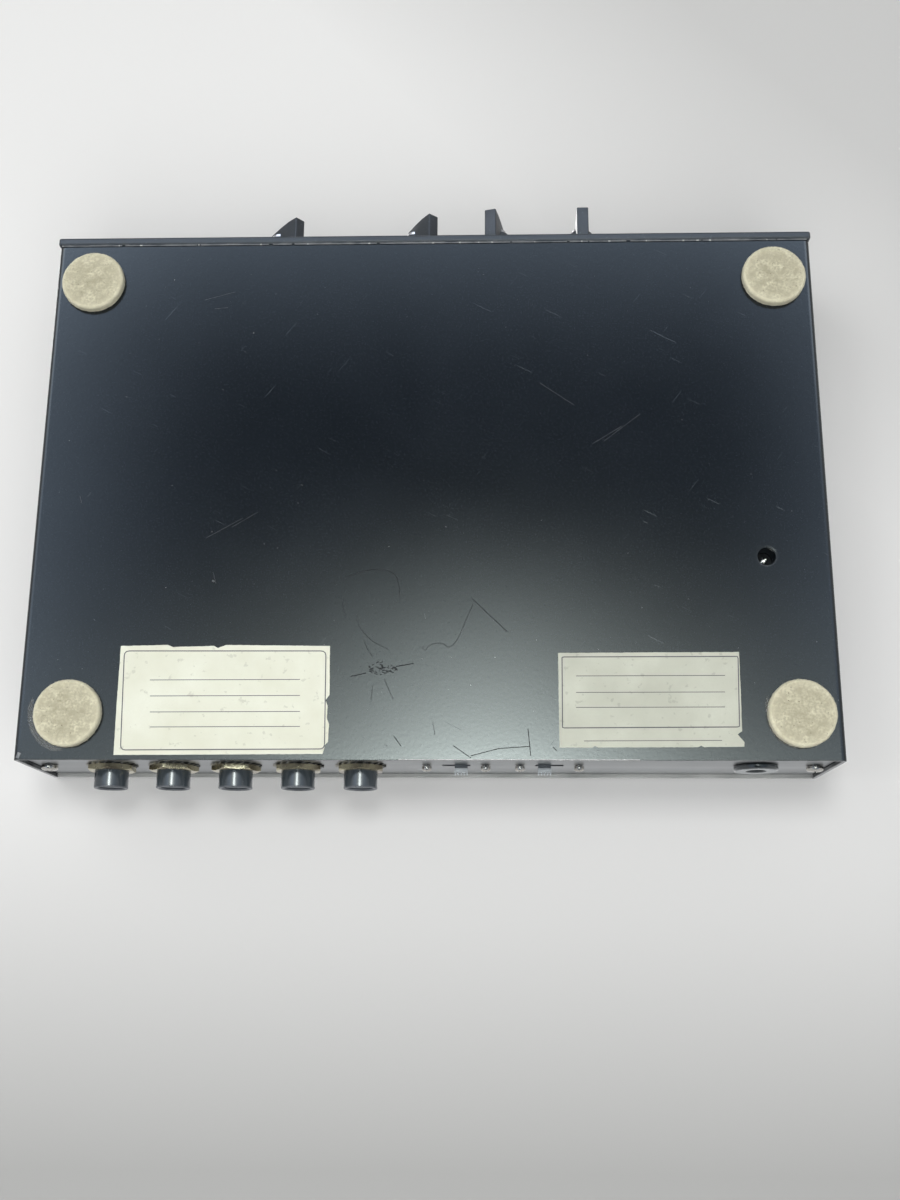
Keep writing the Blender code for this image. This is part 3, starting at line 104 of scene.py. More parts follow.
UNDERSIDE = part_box("bottom_cover")[0][2]
FOCAL_PIXELS = LENS / SENSOR * PICTURE_HEIGHT


def on_underside(column, row):
    """The place on the underside that the picture shows at a column and row of pixels."""
    across = (column - PICTURE_WIDTH / 2) / FOCAL_PIXELS
    down = (row - PICTURE_HEIGHT / 2) / FOCAL_PIXELS
    ray = across * camera_right - down * camera_up - camera_back
    reach = (UNDERSIDE - CAMERA_PLACE.z) / ray.z
    return CAMERA_PLACE + reach * ray


picture_centre = on_underside(PICTURE_WIDTH / 2, PICTURE_HEIGHT / 2)
print("picture centre on the underside in mm:", [round(1000 * value, 1) for value in picture_centre])

# %% [markdown]
# ## Wiring nodes from code
# Materials and Geometry Nodes are both graphs. Each node could be added and linked by hand in
# long lists, but one small helper that takes settings and inputs keeps a graph readable: an
# input is either a plain value or the output of another node. Sums and ranges come up so often
# that they get short helpers of their own.

# %% One helper for every kind of node
def wire(tree, kind, inputs=None, **settings):
    """Adds a node, sets it and links or fills its inputs."""
    node = tree.nodes.new(kind)
    for name, value in settings.items():
        setattr(node, name, value)
    for socket, value in (inputs or {}).items():
        if isinstance(value, bpy.types.NodeSocket):
            tree.links.new(value, node.inputs[socket])
        else:
            node.inputs[socket].default_value = value
    return node


def math_node(tree, operation, first, second=0.0, clamp=False):
    node = wire(tree, "ShaderNodeMath", {0: first, 1: second}, operation=operation, use_clamp=clamp)
    return node.outputs[0]


def times(tree, first, second, clamp=False):
    return math_node(tree, "MULTIPLY", first, second, clamp)


def plus(tree, first, second, clamp=False):
    return math_node(tree, "ADD", first, second, clamp)


def ramp(tree, value, first, last, low=0.0, high=1.0, kind="LINEAR"):
    """Goes from low to high as the value goes from first to last."""
    inputs = {"Value": value, "From Min": first, "From Max": last, "To Min": low, "To Max": high}
    return wire(tree, "ShaderNodeMapRange", inputs, interpolation_type=kind).outputs["Result"]


def sweep(tree, value, first, last, low=0.0, high=1.0):
    """The same, but it starts and ends softly."""
    return ramp(tree, value, first, last, low, high, "SMOOTHSTEP")


# %% [markdown]
# ## Pieces of surface detail
# Real finishes are never one colour. These helpers each add one thing that a hand lens would
# show: patches that drift in tone, a grain that can be stretched into brush lines, and edges
# where paint has worn through. The Bevel node looks at the mesh round each point, so it finds
# edges on any shape and also rounds them in the light.

# %% Helpers for finishes
finishes = {}


def new_finish(name, colour, roughness, metallic=0.0):
    """A material with its shader's plain values set, and its tree and its shader."""
    made = bpy.data.materials.new(name)
    finishes[name] = made
    made.use_nodes = True
    shader = made.node_tree.nodes["Principled BSDF"]
    set_plain(shader, {"Base Color": (*colour, 1), "Roughness": roughness, "Metallic": metallic})
    return made, made.node_tree, shader


def set_plain(shader, values):
    """Sets inputs that stay the same all over the surface."""
    for socket, value in values.items():
        shader.inputs[socket].default_value = value


def link_surface(tree, shader, colour=None, rough=None, normal=None):
    """Links what changes over the surface to the shader."""
    for socket, output in (("Base Color", colour), ("Roughness", rough), ("Normal", normal)):
        if output is not None:
            tree.links.new(output, shader.inputs[socket])


def object_place(tree, stretch=(1, 1, 1), turn=(0, 0, 0)):
    """Object coordinates, which are metres here, turned and then stretched."""
    place = wire(tree, "ShaderNodeTexCoord").outputs["Object"]
    inputs = {"Vector": place, "Scale": [1 / value for value in stretch], "Rotation": turn}
    return wire(tree, "ShaderNodeMapping", inputs, vector_type="TEXTURE").outputs[0]


def clouds(tree, size, place, detail):
    """Plain noise whose features are size metres wide."""
    inputs = {"Vector": place, "Scale": 1 / size, "Detail": detail}
    return wire(tree, "ShaderNodeTexNoise", inputs).outputs["Fac"]


def grain(tree, size, low=0.0, high=1.0, stretch=(1, 1, 1), narrow=0.2, detail=4.0):
    """Noise spread between low and high. A narrow range of it gives hard patches."""
    value = clouds(tree, size, object_place(tree, stretch), detail)
    return ramp(tree, value, 0.5 - narrow, 0.5 + narrow, low, high)


def specks(tree, size, cut, soft=0.03, stretch=(1, 1, 1), turn=(0, 0, 0)):
    """A mask of scattered spots: the few places where the noise is higher than the cut."""
    return ramp(tree, clouds(tree, size, object_place(tree, stretch, turn), 3.0), cut, cut + soft)


def tint(tree, factor, first, second):
    """Goes from the first colour to the second as the factor rises. Either may be a socket."""
    node = wire(tree, "ShaderNodeMix", {"Factor": factor}, data_type="RGBA")
    for socket, value in ((node.inputs[6], first), (node.inputs[7], second)):
        if isinstance(value, bpy.types.NodeSocket):
            tree.links.new(value, socket)
        else:
            socket.default_value = (*value, 1)
    return node.outputs[2]


def rounded_normal(tree, radius):
    return wire(tree, "ShaderNodeBevel", {"Radius": radius}, samples=4).outputs[0]


def worn_edges(tree, radius, amount, patch=0.004):
    """A mask of the edges, broken up by noise as handling breaks up paint."""
    true_normal = wire(tree, "ShaderNodeNewGeometry").outputs["Normal"]
    inputs = {0: rounded_normal(tree, radius), 1: true_normal}
    likeness = wire(tree, "ShaderNodeVectorMath", inputs, operation="DOT_PRODUCT").outputs["Value"]
    edge = ramp(tree, likeness, 0.98, 0.86)
    broken = grain(tree, patch, -0.6, 1.0, narrow=0.25, detail=8.0)
    return times(tree, times(tree, edge, broken, clamp=True), amount, clamp=True)


def raised(tree, height, depth, normal=None):
    """A bump of a real depth in metres."""
    inputs = {"Height": height, "Distance": depth, "Strength": 1.0}
    if normal is not None:
        inputs["Normal"] = normal
    return wire(tree, "ShaderNodeBump", inputs).outputs[0]


# %% [markdown]
# ## One recipe for hard finishes
# Paint, plate, brushed sheet and moulded plastic differ in numbers, not in kind: two tones,
# a patch size, a range of roughness, a grain and its depth, and what shows at worn edges.
# One function with named values keeps them comparable, and each finish is then one short call.
# Every finish is also kept under its name, because the CAD pieces ask for theirs by name.

# %% The recipe
WORN_RADIUS = 0.0005
DUST_SIZE = 0.0011
COAT_ROUGHNESS = 0.08


def hard_finish(
    name, dark, light, patch=0.02, rough=(0.3, 0.4), grain_size=0.0008, grain_depth=0.000004,
    stretch=(1, 1, 1), metallic=0.0, edge_radius=0.0003, edge_colour=None, edge_amount=1.0,
    dust=0.0, coat=0.0,
):
    """A hard surface of two tones, with grain, rounded and worn edges and a little dust."""
    made, tree, shader = new_finish(name, dark, sum(rough) / 2, metallic)
    colour = tint(tree, grain(tree, patch), dark, light)
    if dust:
        pale = [min(1, 3 * value + 0.08) for value in light]
        colour = tint(tree, times(tree, specks(tree, DUST_SIZE, 0.66), dust), colour, pale)
    if edge_colour:
        colour = tint(tree, worn_edges(tree, WORN_RADIUS, edge_amount), colour, edge_colour)
    height = grain(tree, grain_size, stretch=stretch, narrow=0.4)
    normal = raised(tree, height, grain_depth, rounded_normal(tree, edge_radius))
    link_surface(tree, shader, colour, grain(tree, patch / 3, *rough, stretch=stretch), normal)
    set_plain(shader, {"Coat Weight": coat, "Coat Roughness": COAT_ROUGHNESS})
    return made


# %% [markdown]
# ## The finishes of metal and plastic
# The case has thin blue-black paint that shows bright steel where it chips. The rear panel is
# bare brushed sheet, so its grain is stretched along X. Plated screws, brass nuts and moulded
# parts are small, so their patches are small too: a pattern at the wrong scale gives away a
# model at once.

# %% Paint, plate and plastic
BRUSHED = (0.03, 1, 1)

hard_finish(
    "panel_paint", (0.012, 0.016, 0.021), (0.019, 0.025, 0.032), 0.03, (0.34, 0.46),
    edge_colour=(0.42, 0.42, 0.41), edge_amount=0.9, dust=0.15,
)
hard_finish(
    "rear_metal", (0.30, 0.31, 0.315), (0.38, 0.39, 0.395), 0.025, (0.30, 0.42), 0.0007, 0.000006,
    BRUSHED, metallic=1.0, edge_colour=(0.62, 0.62, 0.60),
)
nickel = hard_finish(
    "nickel", (0.50, 0.48, 0.44), (0.70, 0.68, 0.64), 0.002, (0.16, 0.34), 0.0004, 0.000006,
    metallic=1.0, edge_radius=0.0001,
)
black_steel = hard_finish(
    "black_steel", (0.030, 0.030, 0.032), (0.060, 0.060, 0.062), 0.002, (0.30, 0.45), metallic=0.9,
    edge_radius=0.0001, edge_colour=(0.35, 0.34, 0.33),
)
hard_finish(
    "steel", (0.38, 0.38, 0.39), (0.55, 0.55, 0.56), 0.012, (0.28, 0.42), 0.0009, 0.000005,
    BRUSHED, metallic=1.0,
)
washer_steel = hard_finish(
    "washer_steel", (0.34, 0.33, 0.30), (0.56, 0.55, 0.51), 0.002, (0.30, 0.50),
    metallic=1.0, edge_radius=0.00008,
)
gloss_black = hard_finish(
    "gloss_black", (0.046, 0.058, 0.067), (0.062, 0.076, 0.087), 0.006, (0.08, 0.12), 0.0006, 0.000001,
    edge_radius=0.0002, dust=0.1, coat=0.3,
)
inlet_black = hard_finish(
    "inlet_black", (0.020, 0.026, 0.030), (0.032, 0.040, 0.045), 0.003, (0.14, 0.2),
    edge_radius=0.0001, coat=1.0,
)
rim_grey = hard_finish(
    "rim_grey", (0.07, 0.08, 0.09), (0.13, 0.14, 0.155), 0.003, (0.25, 0.4), edge_radius=0.0001,
)
# Pale grey on the inlet's face ring: a painted reflection of the table.
face_painted_reflection = hard_finish(
    "face_painted_reflection", (0.24, 0.255, 0.26), (0.34, 0.355, 0.36), 0.003, (0.3, 0.45), edge_radius=0.0001,
)
knob_black = hard_finish(
    "knob_black", (0.019, 0.024, 0.030), (0.028, 0.034, 0.042), 0.006, (0.38, 0.50), 0.0003, 0.000008,
    edge_radius=0.0002, edge_colour=(0.10, 0.10, 0.11), edge_amount=0.6, dust=0.2,
)
lever_grey = hard_finish(
    "lever_grey", (0.44, 0.48, 0.50), (0.58, 0.62, 0.64), 0.002, (0.32, 0.45), edge_radius=0.0001,
)
# The lever's stem: the lever's own grey darkened as painted shade, for the shadow that it lies in.
stem_painted_shade = hard_finish(
    "stem_painted_shade", (0.055, 0.065, 0.075), (0.085, 0.10, 0.11), 0.002, (0.3, 0.42), edge_radius=0.0001,
)
hard_finish(
    "ivory_plastic", (0.62, 0.60, 0.52), (0.74, 0.72, 0.66), 0.004, (0.35, 0.5), dust=0.2,
)
# Near black with little gloss: painted shade for the adjuster's well, worn by the rotor's disc.
hollow_painted_shade = hard_finish("hollow_painted_shade", (0.006, 0.007, 0.008), (0.012, 0.013, 0.014), 0.002, (0.6, 0.8))
set_plain(hollow_painted_shade.node_tree.nodes["Principled BSDF"], {"Specular IOR Level": 0.15})
hard_finish(
    "rubber", (0.014, 0.014, 0.014), (0.024, 0.023, 0.022), 0.004, (0.62, 0.80), 0.0004, 0.00002, dust=0.4,
)
white_print = hard_finish("white_print", (0.66, 0.66, 0.63), (0.80, 0.80, 0.77), 0.003, (0.45, 0.6))
tape_brown = hard_finish(
    "tape_brown", (0.050, 0.026, 0.018), (0.095, 0.050, 0.034), 0.012, (0.20, 0.32), 0.0002, 0.00001,
    (1, 1, 8),
)
print("finishes so far:", len(finishes))

# %% [markdown]
# ## Brass that has gone brown
# The jack nuts are yellow brass, but some of their flats have gone brown with age. A second,
# larger noise chooses where the tarnish lies, so neighbouring nuts differ although one
# material serves them all.

# %% Brass
def make_brass():
    made, tree, shader = new_finish("brass", (0.50, 0.42, 0.21), 0.22, 0.88)
    clean = tint(tree, grain(tree, 0.003), (0.46, 0.42, 0.28), (0.66, 0.61, 0.44))
    tarnish = grain(tree, 0.006, -0.5, 1.1, narrow=0.2)
    colour = tint(tree, tarnish, clean, (0.18, 0.15, 0.11))
    normal = raised(tree, grain(tree, 0.0004), 0.000008, rounded_normal(tree, 0.00015))
    link_surface(tree, shader, colour, grain(tree, 0.003, 0.14, 0.36), normal)
    return made


brass = make_brass()
print("finishes with the brass:", len(finishes))

# %% [markdown]
# ## The case paint
# This finish fills most of the picture, so it gets its own graph: a fine orange peel, slow
# drifts of tone where hands have rubbed it, hairlines in two directions, pin-prick chips, and
# steel at the worn edges. Everything reads Object coordinates, so the pattern stays put when
# the case is seen from another side.

# %% Case paint
PAINT_DARK = (0.0050, 0.0070, 0.0098)
PAINT_LIGHT = (0.0078, 0.0104, 0.0142)
PAINT_HAZE = (0.013, 0.0165, 0.021)
PAINT_DUST = (0.036, 0.042, 0.047)
PAINT_CHIP = (0.50, 0.50, 0.48)
PAINT_CUT = (0.06, 0.065, 0.07)
PAINT_ROUGHNESS = (0.125, 0.145)
PAINT_TINT = (0.95, 1.0, 0.98)
# The tones and limits below paint the top cover's inner side pale: bare steel, made paler as painted light
# for a strip in shade.
STEEL_AND_LIT_TONES = ((0.36, 0.37, 0.36), (0.62, 0.63, 0.61))
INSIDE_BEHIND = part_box("rear_panel")[1][1] - 0.0001
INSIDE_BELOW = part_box("top_cover")[1][2] - 0.0006


def hairlines(tree, degrees, cut):
    """Long thin scratches that run one way: noise drawn out along a turned X axis."""
    return specks(tree, 0.0006, cut, 0.02, stretch=(0.03, 1, 1), turn=(0, 0, math.radians(degrees)))


def steel_and_lit_inside(tree, colour):
    """Steel-grey on the top cover's inner side behind the rear panel: bare steel, made paler as painted
    light.
    """
    place = wire(tree, "ShaderNodeSeparateXYZ", {0: object_place(tree)}).outputs
    behind = math_node(tree, "GREATER_THAN", place["Y"], INSIDE_BEHIND)
    inside = math_node(tree, "LESS_THAN", place["Z"], INSIDE_BELOW)
    steel_and_lit_tone = tint(tree, grain(tree, 0.004, stretch=(0.2, 1, 1)), *STEEL_AND_LIT_TONES)
    return tint(tree, times(tree, behind, inside), colour, steel_and_lit_tone)


def make_case_paint(name, pale_inside=False):
    made, tree, shader = new_finish(name, PAINT_DARK, 0.27)
    colour = tint(tree, grain(tree, 0.045), PAINT_DARK, PAINT_LIGHT)
    rubbed = times(tree, grain(tree, 0.03, -0.5, 1, narrow=0.25), grain(tree, 0.0016), True)
    colour = tint(tree, times(tree, rubbed, 0.35), colour, PAINT_HAZE)
    colour = tint(tree, times(tree, specks(tree, 0.0005, 0.60, 0.06), 0.30), colour, PAINT_DUST)
    lines = plus(tree, hairlines(tree, 28, 0.725), hairlines(tree, -52, 0.735), True)
    colour = tint(tree, times(tree, lines, 0.20), colour, PAINT_CUT)
    colour = tint(tree, specks(tree, 0.0007, 0.775, 0.02), colour, PAINT_CHIP)
    colour = tint(tree, worn_edges(tree, 0.0004, 0.75, 0.006), colour, PAINT_CHIP)
    if pale_inside:
        colour = steel_and_lit_inside(tree, colour)
    rough = plus(tree, grain(tree, 0.020, *PAINT_ROUGHNESS, narrow=0.4), times(tree, lines, 0.1))
    peel = raised(tree, grain(tree, 0.0011, narrow=0.35), 0.000005, rounded_normal(tree, 0.0005))
    link_surface(tree, shader, colour, rough, raised(tree, lines, 0.000004, peel))
    set_plain(shader, {"Specular Tint": (*PAINT_TINT, 1)})
    return made


case_paint = make_case_paint("case_paint")
cover_paint = make_case_paint("cover_paint", pale_inside=True)
print("finishes with the case paints:", len(finishes))

# %% [markdown]
# ## Felt, paper, board and lens
# Felt is matt, so it has sheen and a mottled, slightly yellow grey; its rim is painted paler,
# a painted highlight where it catches light. Paper is flat with faint stains. Each could be a
# photograph wrapped round the shape, but noise at two or three scales does as well and never repeats.

# %% Soft and special finishes
def make_felt(name, dark, light, speck):
    """Mottled felt with a painted highlight: paler where the piece's rim highlight attribute is high."""
    made, tree, shader = new_finish(name, light, 0.95)
    colour = tint(tree, grain(tree, 0.0035, narrow=0.14, detail=8), dark, light)
    colour = tint(tree, grain(tree, 0.0008, 0, 0.85, narrow=0.12), colour, dark)
    colour = tint(tree, specks(tree, 0.0010, 0.69), colour, speck)
    rim_highlight = wire(tree, "ShaderNodeAttribute", attribute_name="rim_highlight").outputs["Fac"]
    colour = tint(tree, times(tree, rim_highlight, 0.45), colour, [min(1, 1.25 * value) for value in light])
    normal = raised(tree, grain(tree, 0.0006, narrow=0.3, detail=8), 0.00012)
    link_surface(tree, shader, colour, normal=normal)
    set_plain(shader, {"Sheen Weight": 0.25, "Sheen Roughness": 0.5})
    return made


def make_paper(name, clean, aged):
    made, tree, shader = new_finish(name, clean, 0.55)
    colour = tint(tree, grain(tree, 0.014, 0, 0.9, narrow=0.18), clean, aged)
    colour = tint(tree, grain(tree, 0.0006, 0, 0.22), colour, aged)
    stain = [value * 0.72 for value in aged]
    colour = tint(tree, times(tree, specks(tree, 0.0022, 0.64, 0.05), 0.5), colour, stain)
    normal = raised(tree, grain(tree, 0.0009, narrow=0.3), 0.000015)
    link_surface(tree, shader, colour, grain(tree, 0.004, 0.42, 0.62), normal)
    return made


def make_board():
    made, tree, shader = new_finish("board_green", (0.04, 0.16, 0.07), 0.35)
    inputs = {"Vector": object_place(tree), "Scale": 900.0, "Distortion": 1.5}
    weave = wire(tree, "ShaderNodeTexWave", inputs).outputs["Fac"]
    colour = tint(tree, grain(tree, 0.010), (0.025, 0.12, 0.05), (0.06, 0.22, 0.09))
    colour = tint(tree, times(tree, weave, 0.25), colour, (0.10, 0.28, 0.13))
    link_surface(tree, shader, colour, grain(tree, 0.006, 0.22, 0.42), raised(tree, weave, 0.00001))
    return made


def make_clear(name, colour, roughness, transmission):
    """A clear skin, such as a lamp's lens or old glue, with faint swirls."""
    made, tree, shader = new_finish(name, colour, roughness)
    swirls = tint(tree, grain(tree, 0.002), colour, [min(1, 1.4 * value + 0.02) for value in colour])
    rough = grain(tree, 0.002, 0.6 * roughness, 1.6 * roughness)
    link_surface(tree, shader, swirls, rough, raised(tree, grain(tree, 0.0014), 0.00003))
    set_plain(shader, {"Transmission Weight": transmission})
    return made


felt = make_felt("felt", (0.45, 0.42, 0.30), (0.72, 0.69, 0.52), (0.16, 0.14, 0.10))
white_paper = make_paper("white_paper", (0.80, 0.81, 0.69), (0.71, 0.71, 0.58))
grey_paper = make_paper("grey_paper", (0.575, 0.585, 0.495), (0.47, 0.475, 0.395))
ink = make_paper("ink", (0.055, 0.052, 0.060), (0.09, 0.085, 0.09))
make_board()
red_lens = make_clear("red_lens", (0.42, 0.012, 0.010), 0.10, 0.45)
glue_film = make_clear("glue_film", (0.14, 0.145, 0.14), 0.14, 0)
set_plain(glue_film.node_tree.nodes["Principled BSDF"], {"Alpha": 0.35})
print("finishes in all:", len(finishes))

# %% [markdown]
# ## Giving the CAD pieces their finish
# Pieces whose CAD shape is already right keep it and only change material. The record names a
# slot for every piece, and each slot has a finish of the same name, so one loop dresses them
# all. Only the top cover differs: its inner side is painted a pale steel-grey, partly bare steel
# and partly painted light for a strip that lies in shade.

# %% Dress the CAD pieces
for entry in frame["record"]["subparts"]:
    for material_slot in frame["nodes"][entry["node"]].material_slots:
        material_slot.material = finishes[entry["material_slot"]]
frame["nodes"]["top_cover"].material_slots[0].material = cover_paint

# %% [markdown]
# ## Shapes from a lathe
# Barrels, nuts, screws and knob skirts are turned on a lathe, so they come from a profile of
# radius and height spun round an axis. Blender's Screw modifier could do it, but a few lines
# of bmesh give closed poles, a chosen number of sides and a mesh that is placed at once.

# %% Lathe, block and finished pieces
UP = Matrix.Identity(4)
REARWARD = Matrix.Rotation(-math.pi / 2, 4, "X")
FORWARD = Matrix.Rotation(math.pi / 2, 4, "X")
DOWNWARD = Matrix.Rotation(math.pi, 4, "X")
LEFTWARD = Matrix.Rotation(-math.pi / 2, 4, "Y")
RIGHTWARD = Matrix.Rotation(math.pi / 2, 4, "Y")
AXIS_REACH = 1e-9


def corners(node):
    """The low and the high corner of a CAD node's box."""
    low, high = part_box(node)
    return Vector(low), Vector(high)


def middle(node):
    low, high = corners(node)
    return (low + high) / 2


def arc(radius, height, reach, rise, first, last, steps):
    """Profile points round a quarter of an ellipse, between two angles in degrees."""
    angles = [math.radians(first + (last - first) * step / steps) for step in range(steps + 1)]
    return [(radius + reach * math.cos(angle), height + rise * math.sin(angle)) for angle in angles]


def turned(profile, sides=64, ring=False):
    """A lathed shape. A profile point on the axis becomes a pole, and a ring closes on itself."""
    shape = bmesh.new()
    rows = []
    for radius, height in profile:
        if radius < AXIS_REACH:
            rows.append([shape.verts.new((0, 0, height))])
            continue
        angles = [2 * math.pi * step / sides for step in range(sides)]
        rows.append([shape.verts.new((radius * math.cos(a), radius * math.sin(a), height)) for a in angles])
    return skinned(shape, rows, sides, ring)


def skinned(shape, rows, sides, ring=False):
    """Faces between rows of vertices that run round, where a row of one vertex is a pole."""
    for lower, upper in list(zip(rows, rows[1:])) + ([(rows[-1], rows[0])] if ring else []):
        for step in range(sides):
            after = (step + 1) % sides
            face = [lower[step % len(lower)], lower[after % len(lower)]]
            face += [upper[after % len(upper)], upper[step % len(upper)]]
            shape.faces.new(list(dict.fromkeys(face)))
    bmesh.ops.recalc_face_normals(shape, faces=shape.faces)
    return shape


def rounded_block(low, high, rounding, segments=2):
    """A block between two corners, with its edges rounded."""
    shape = bmesh.new()
    bmesh.ops.create_cube(shape, size=1)
    low, high = Vector(low), Vector(high)
    for vert in shape.verts:
        vert.co = Vector([(a + b) / 2 + c * (b - a) for a, b, c in zip(low, high, vert.co)])
    bmesh.ops.bevel(shape, geom=shape.edges, offset=rounding, segments=segments, profile=0.5, affect="EDGES")
    return shape


def moved(shape, matrix):
    bmesh.ops.transform(shape, matrix=matrix, verts=shape.verts)
    return shape


def at(place, facing=UP, spin=0.0):
    return Matrix.Translation(place) @ facing @ Matrix.Rotation(spin, 4, "Z")


def gathered(shapes):
    """Several bmeshes in one."""
    whole = bmesh.new()
    for shape in shapes:
        part = bpy.data.meshes.new("part")
        shape.to_mesh(part)
        whole.from_mesh(part)
        shape.free()
        bpy.data.meshes.remove(part)
    return whole


def placed(name, data):
    """A new object in the scene, at the origin."""
    made = bpy.data.objects.new(name, data)
    bpy.context.scene.collection.objects.link(made)
    return made


def piece(name, shape, material, sharp=35):
    """An object at the origin from a bmesh, shaded smooth up to an angle between faces."""
    mesh = bpy.data.meshes.new(name)
    shape.to_mesh(mesh)
    shape.free()
    mesh.materials.append(material)
    mesh.shade_smooth()
    mesh.set_sharp_from_angle(angle=math.radians(sharp))
    return placed(name, mesh)


def seat(made, body, slot, *nodes):
    """The piece rides on a body and stands for the CAD nodes, which are hidden. Its slot is not used."""
    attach(made, body)
    if nodes:
        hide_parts(*nodes)
    print(made.name, "rides on", body, "and has", len(made.data.polygons), "faces")


# %% [markdown]
# ## Setting out repeated pieces with Geometry Nodes
# Five jacks, five nuts and eight screws are each one master piece set out on marks. The marks
# are loose points that carry a turn. A tree puts the master on each point, makes the copies
# real and gives them their finish, and the result is saved as a plain mesh. Inputs are set by
# the socket's identifier, because names can repeat but identifiers can't.

# %% The setting-out tree
def new_tree(name, inputs):
    """A Geometry Nodes tree with named inputs."""
    tree = bpy.data.node_groups.new(name, "GeometryNodeTree")
    tree.is_modifier = True
    tree.interface.new_socket("Geometry", in_out="OUTPUT", socket_type="NodeSocketGeometry")
    tree.interface.new_socket("Geometry", in_out="INPUT", socket_type="NodeSocketGeometry")
    for label, kind in inputs.items():
        tree.interface.new_socket(label, in_out="INPUT", socket_type=f"NodeSocket{kind}")
    return tree, wire(tree, "NodeGroupInput").outputs, wire(tree, "NodeGroupOutput").inputs


def close_tree(tree, geometry, given, result):
    """Makes the instances real and sets their finish, as every tree here ends."""
    real = wire(tree, "GeometryNodeRealizeInstances", {"Geometry": geometry}).outputs[0]
    done = wire(tree, "GeometryNodeSetMaterial", {"Geometry": real, "Material": given["Finish"]}).outputs[0]
    tree.links.new(done, result["Geometry"])


def grown(name, carrier, tree, values, sharp=35):
    """Runs a tree on a carrier and returns the result as a plain mesh object at the origin."""
    modifier = carrier.modifiers.new(tree.name, "NODES")
    modifier.node_group = tree
    for item in tree.interface.items_tree:
        if item.in_out == "INPUT" and item.name in values:
            modifier[item.identifier] = values[item.name]
    seen = carrier.evaluated_get(bpy.context.evaluated_depsgraph_get())
    mesh = bpy.data.meshes.new_from_object(seen)
    bpy.data.objects.remove(carrier)
    mesh.name = name
    mesh.shade_smooth()
    mesh.set_sharp_from_angle(angle=math.radians(sharp))
    return placed(name, mesh)


def marks(places, turns=None, edges=()):
    """A carrier: loose points, or points joined by edges, each with a turn in radians."""
    mesh = bpy.data.meshes.new("marks")
    mesh.from_pydata([tuple(place) for place in places], list(edges), [])
    turn = mesh.attributes.new("turn", "FLOAT_VECTOR", "POINT")
    for number, value in enumerate(turns or []):
        turn.data[number].vector = value
    return placed("marks", mesh)


setting_out, given, result = new_tree("Setting out", {"Master": "Object", "Finish": "Material"})
master = wire(setting_out, "GeometryNodeObjectInfo", {"Object": given["Master"]}).outputs["Geometry"]
turn = wire(setting_out, "GeometryNodeInputNamedAttribute", {"Name": "turn"}, data_type="FLOAT_VECTOR")
copies = wire(
    setting_out, "GeometryNodeInstanceOnPoints",
    {"Points": given["Geometry"], "Instance": master, "Rotation": turn.outputs[0]},
).outputs[0]
close_tree(setting_out, copies, given, result)


def set_out(name, shape, finish, places, turns, sharp=35):
    """One master shape set out on every place, as one plain mesh."""
    model = piece(name + "_master", shape, finish, sharp)
    made = grown(name, marks(places, turns), setting_out, {"Master": model, "Finish": finish}, sharp)
    bpy.data.objects.remove(model)
    return made


# %% [markdown]
# ## The phone jacks
# A phone jack's barrel is moulded black plastic. Seen from its end it has a worn pale rim and
# a dark bore with a metal sleeve. The CAD barrel has the right size but few sides, so a finer
# turned one takes its place, with a step where the thread ends.

# %% Places on the rear panel
JACK_NODES = [f"jack_{number}" for number in range(1, 6)]
NUT_NODES = [f"jack_nut_{number}" for number in range(1, 6)]
REAR_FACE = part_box("rear_panel")[1][1]
jack_marks = [Vector((middle(node).x, REAR_FACE, middle(node).z)) for node in JACK_NODES]
NO_TURN = [(0, 0, 0)] * len(jack_marks)
print("jacks stand", round(1000 * (jack_marks[1].x - jack_marks[0].x), 2), "mm apart")

# %% Barrels, rims and sleeves
BARREL_RADIUS = 0.0055
BARREL_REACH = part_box("jack_1")[1][1] - REAR_FACE + 0.0004
BARREL_LIP = 0.0005
BARREL_START = -0.004
THREAD_RADIUS = 0.0049
THREAD_END = 0.0019
NUT_BORE = 0.00505
BORE_RADIUS = 0.0033
MOUTH_RADIUS = 0.0046
BORE_DEPTH = 0.014
JACK_BODY_HALF = (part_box("jack_1")[1][0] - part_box("jack_1")[0][0]) / 2
JACK_BODY_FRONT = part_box("jack_1")[0][1] - REAR_FACE
BODY_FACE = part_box("rear_panel")[0][1]


def thread(start, end, radius, pitch=0.0005, depth=0.00022):
    """The outline of a thread, drawn as rings."""
    rings = int((end - start) / pitch)
    outline = []
    for ring in range(rings):
        base = start + ring * pitch
        outline += [(radius - depth, base), (radius, base + pitch / 2)]
    return outline + [(radius - depth, end)]


def jack_barrel():
    outline = [(0, BARREL_START)] + thread(BARREL_START, THREAD_END, THREAD_RADIUS)
    outline += [
        (BARREL_RADIUS - 0.0002, THREAD_END),
        (BARREL_RADIUS, THREAD_END + 0.0002),
        (BARREL_RADIUS, BARREL_REACH - BARREL_LIP),
        (MOUTH_RADIUS, BARREL_REACH - BARREL_LIP),
        (BORE_RADIUS, BARREL_REACH - 2 * BARREL_LIP),
        (BORE_RADIUS, BARREL_REACH - BORE_DEPTH),
        (0, BARREL_REACH - BORE_DEPTH),
    ]
    return moved(turned(outline), REARWARD)


def jack_rim():
    """The worn lip at the mouth, which catches the light as a thin pale ring."""
    low, high = BARREL_REACH - BARREL_LIP, BARREL_REACH
    outline = [
        (BARREL_RADIUS, low),
        (BARREL_RADIUS, high - 0.0002),
        (BARREL_RADIUS - 0.0002, high),
        (MOUTH_RADIUS + 0.0002, high),
        (MOUTH_RADIUS - 0.0003, low),
    ]
    return moved(turned(outline, ring=True), REARWARD)


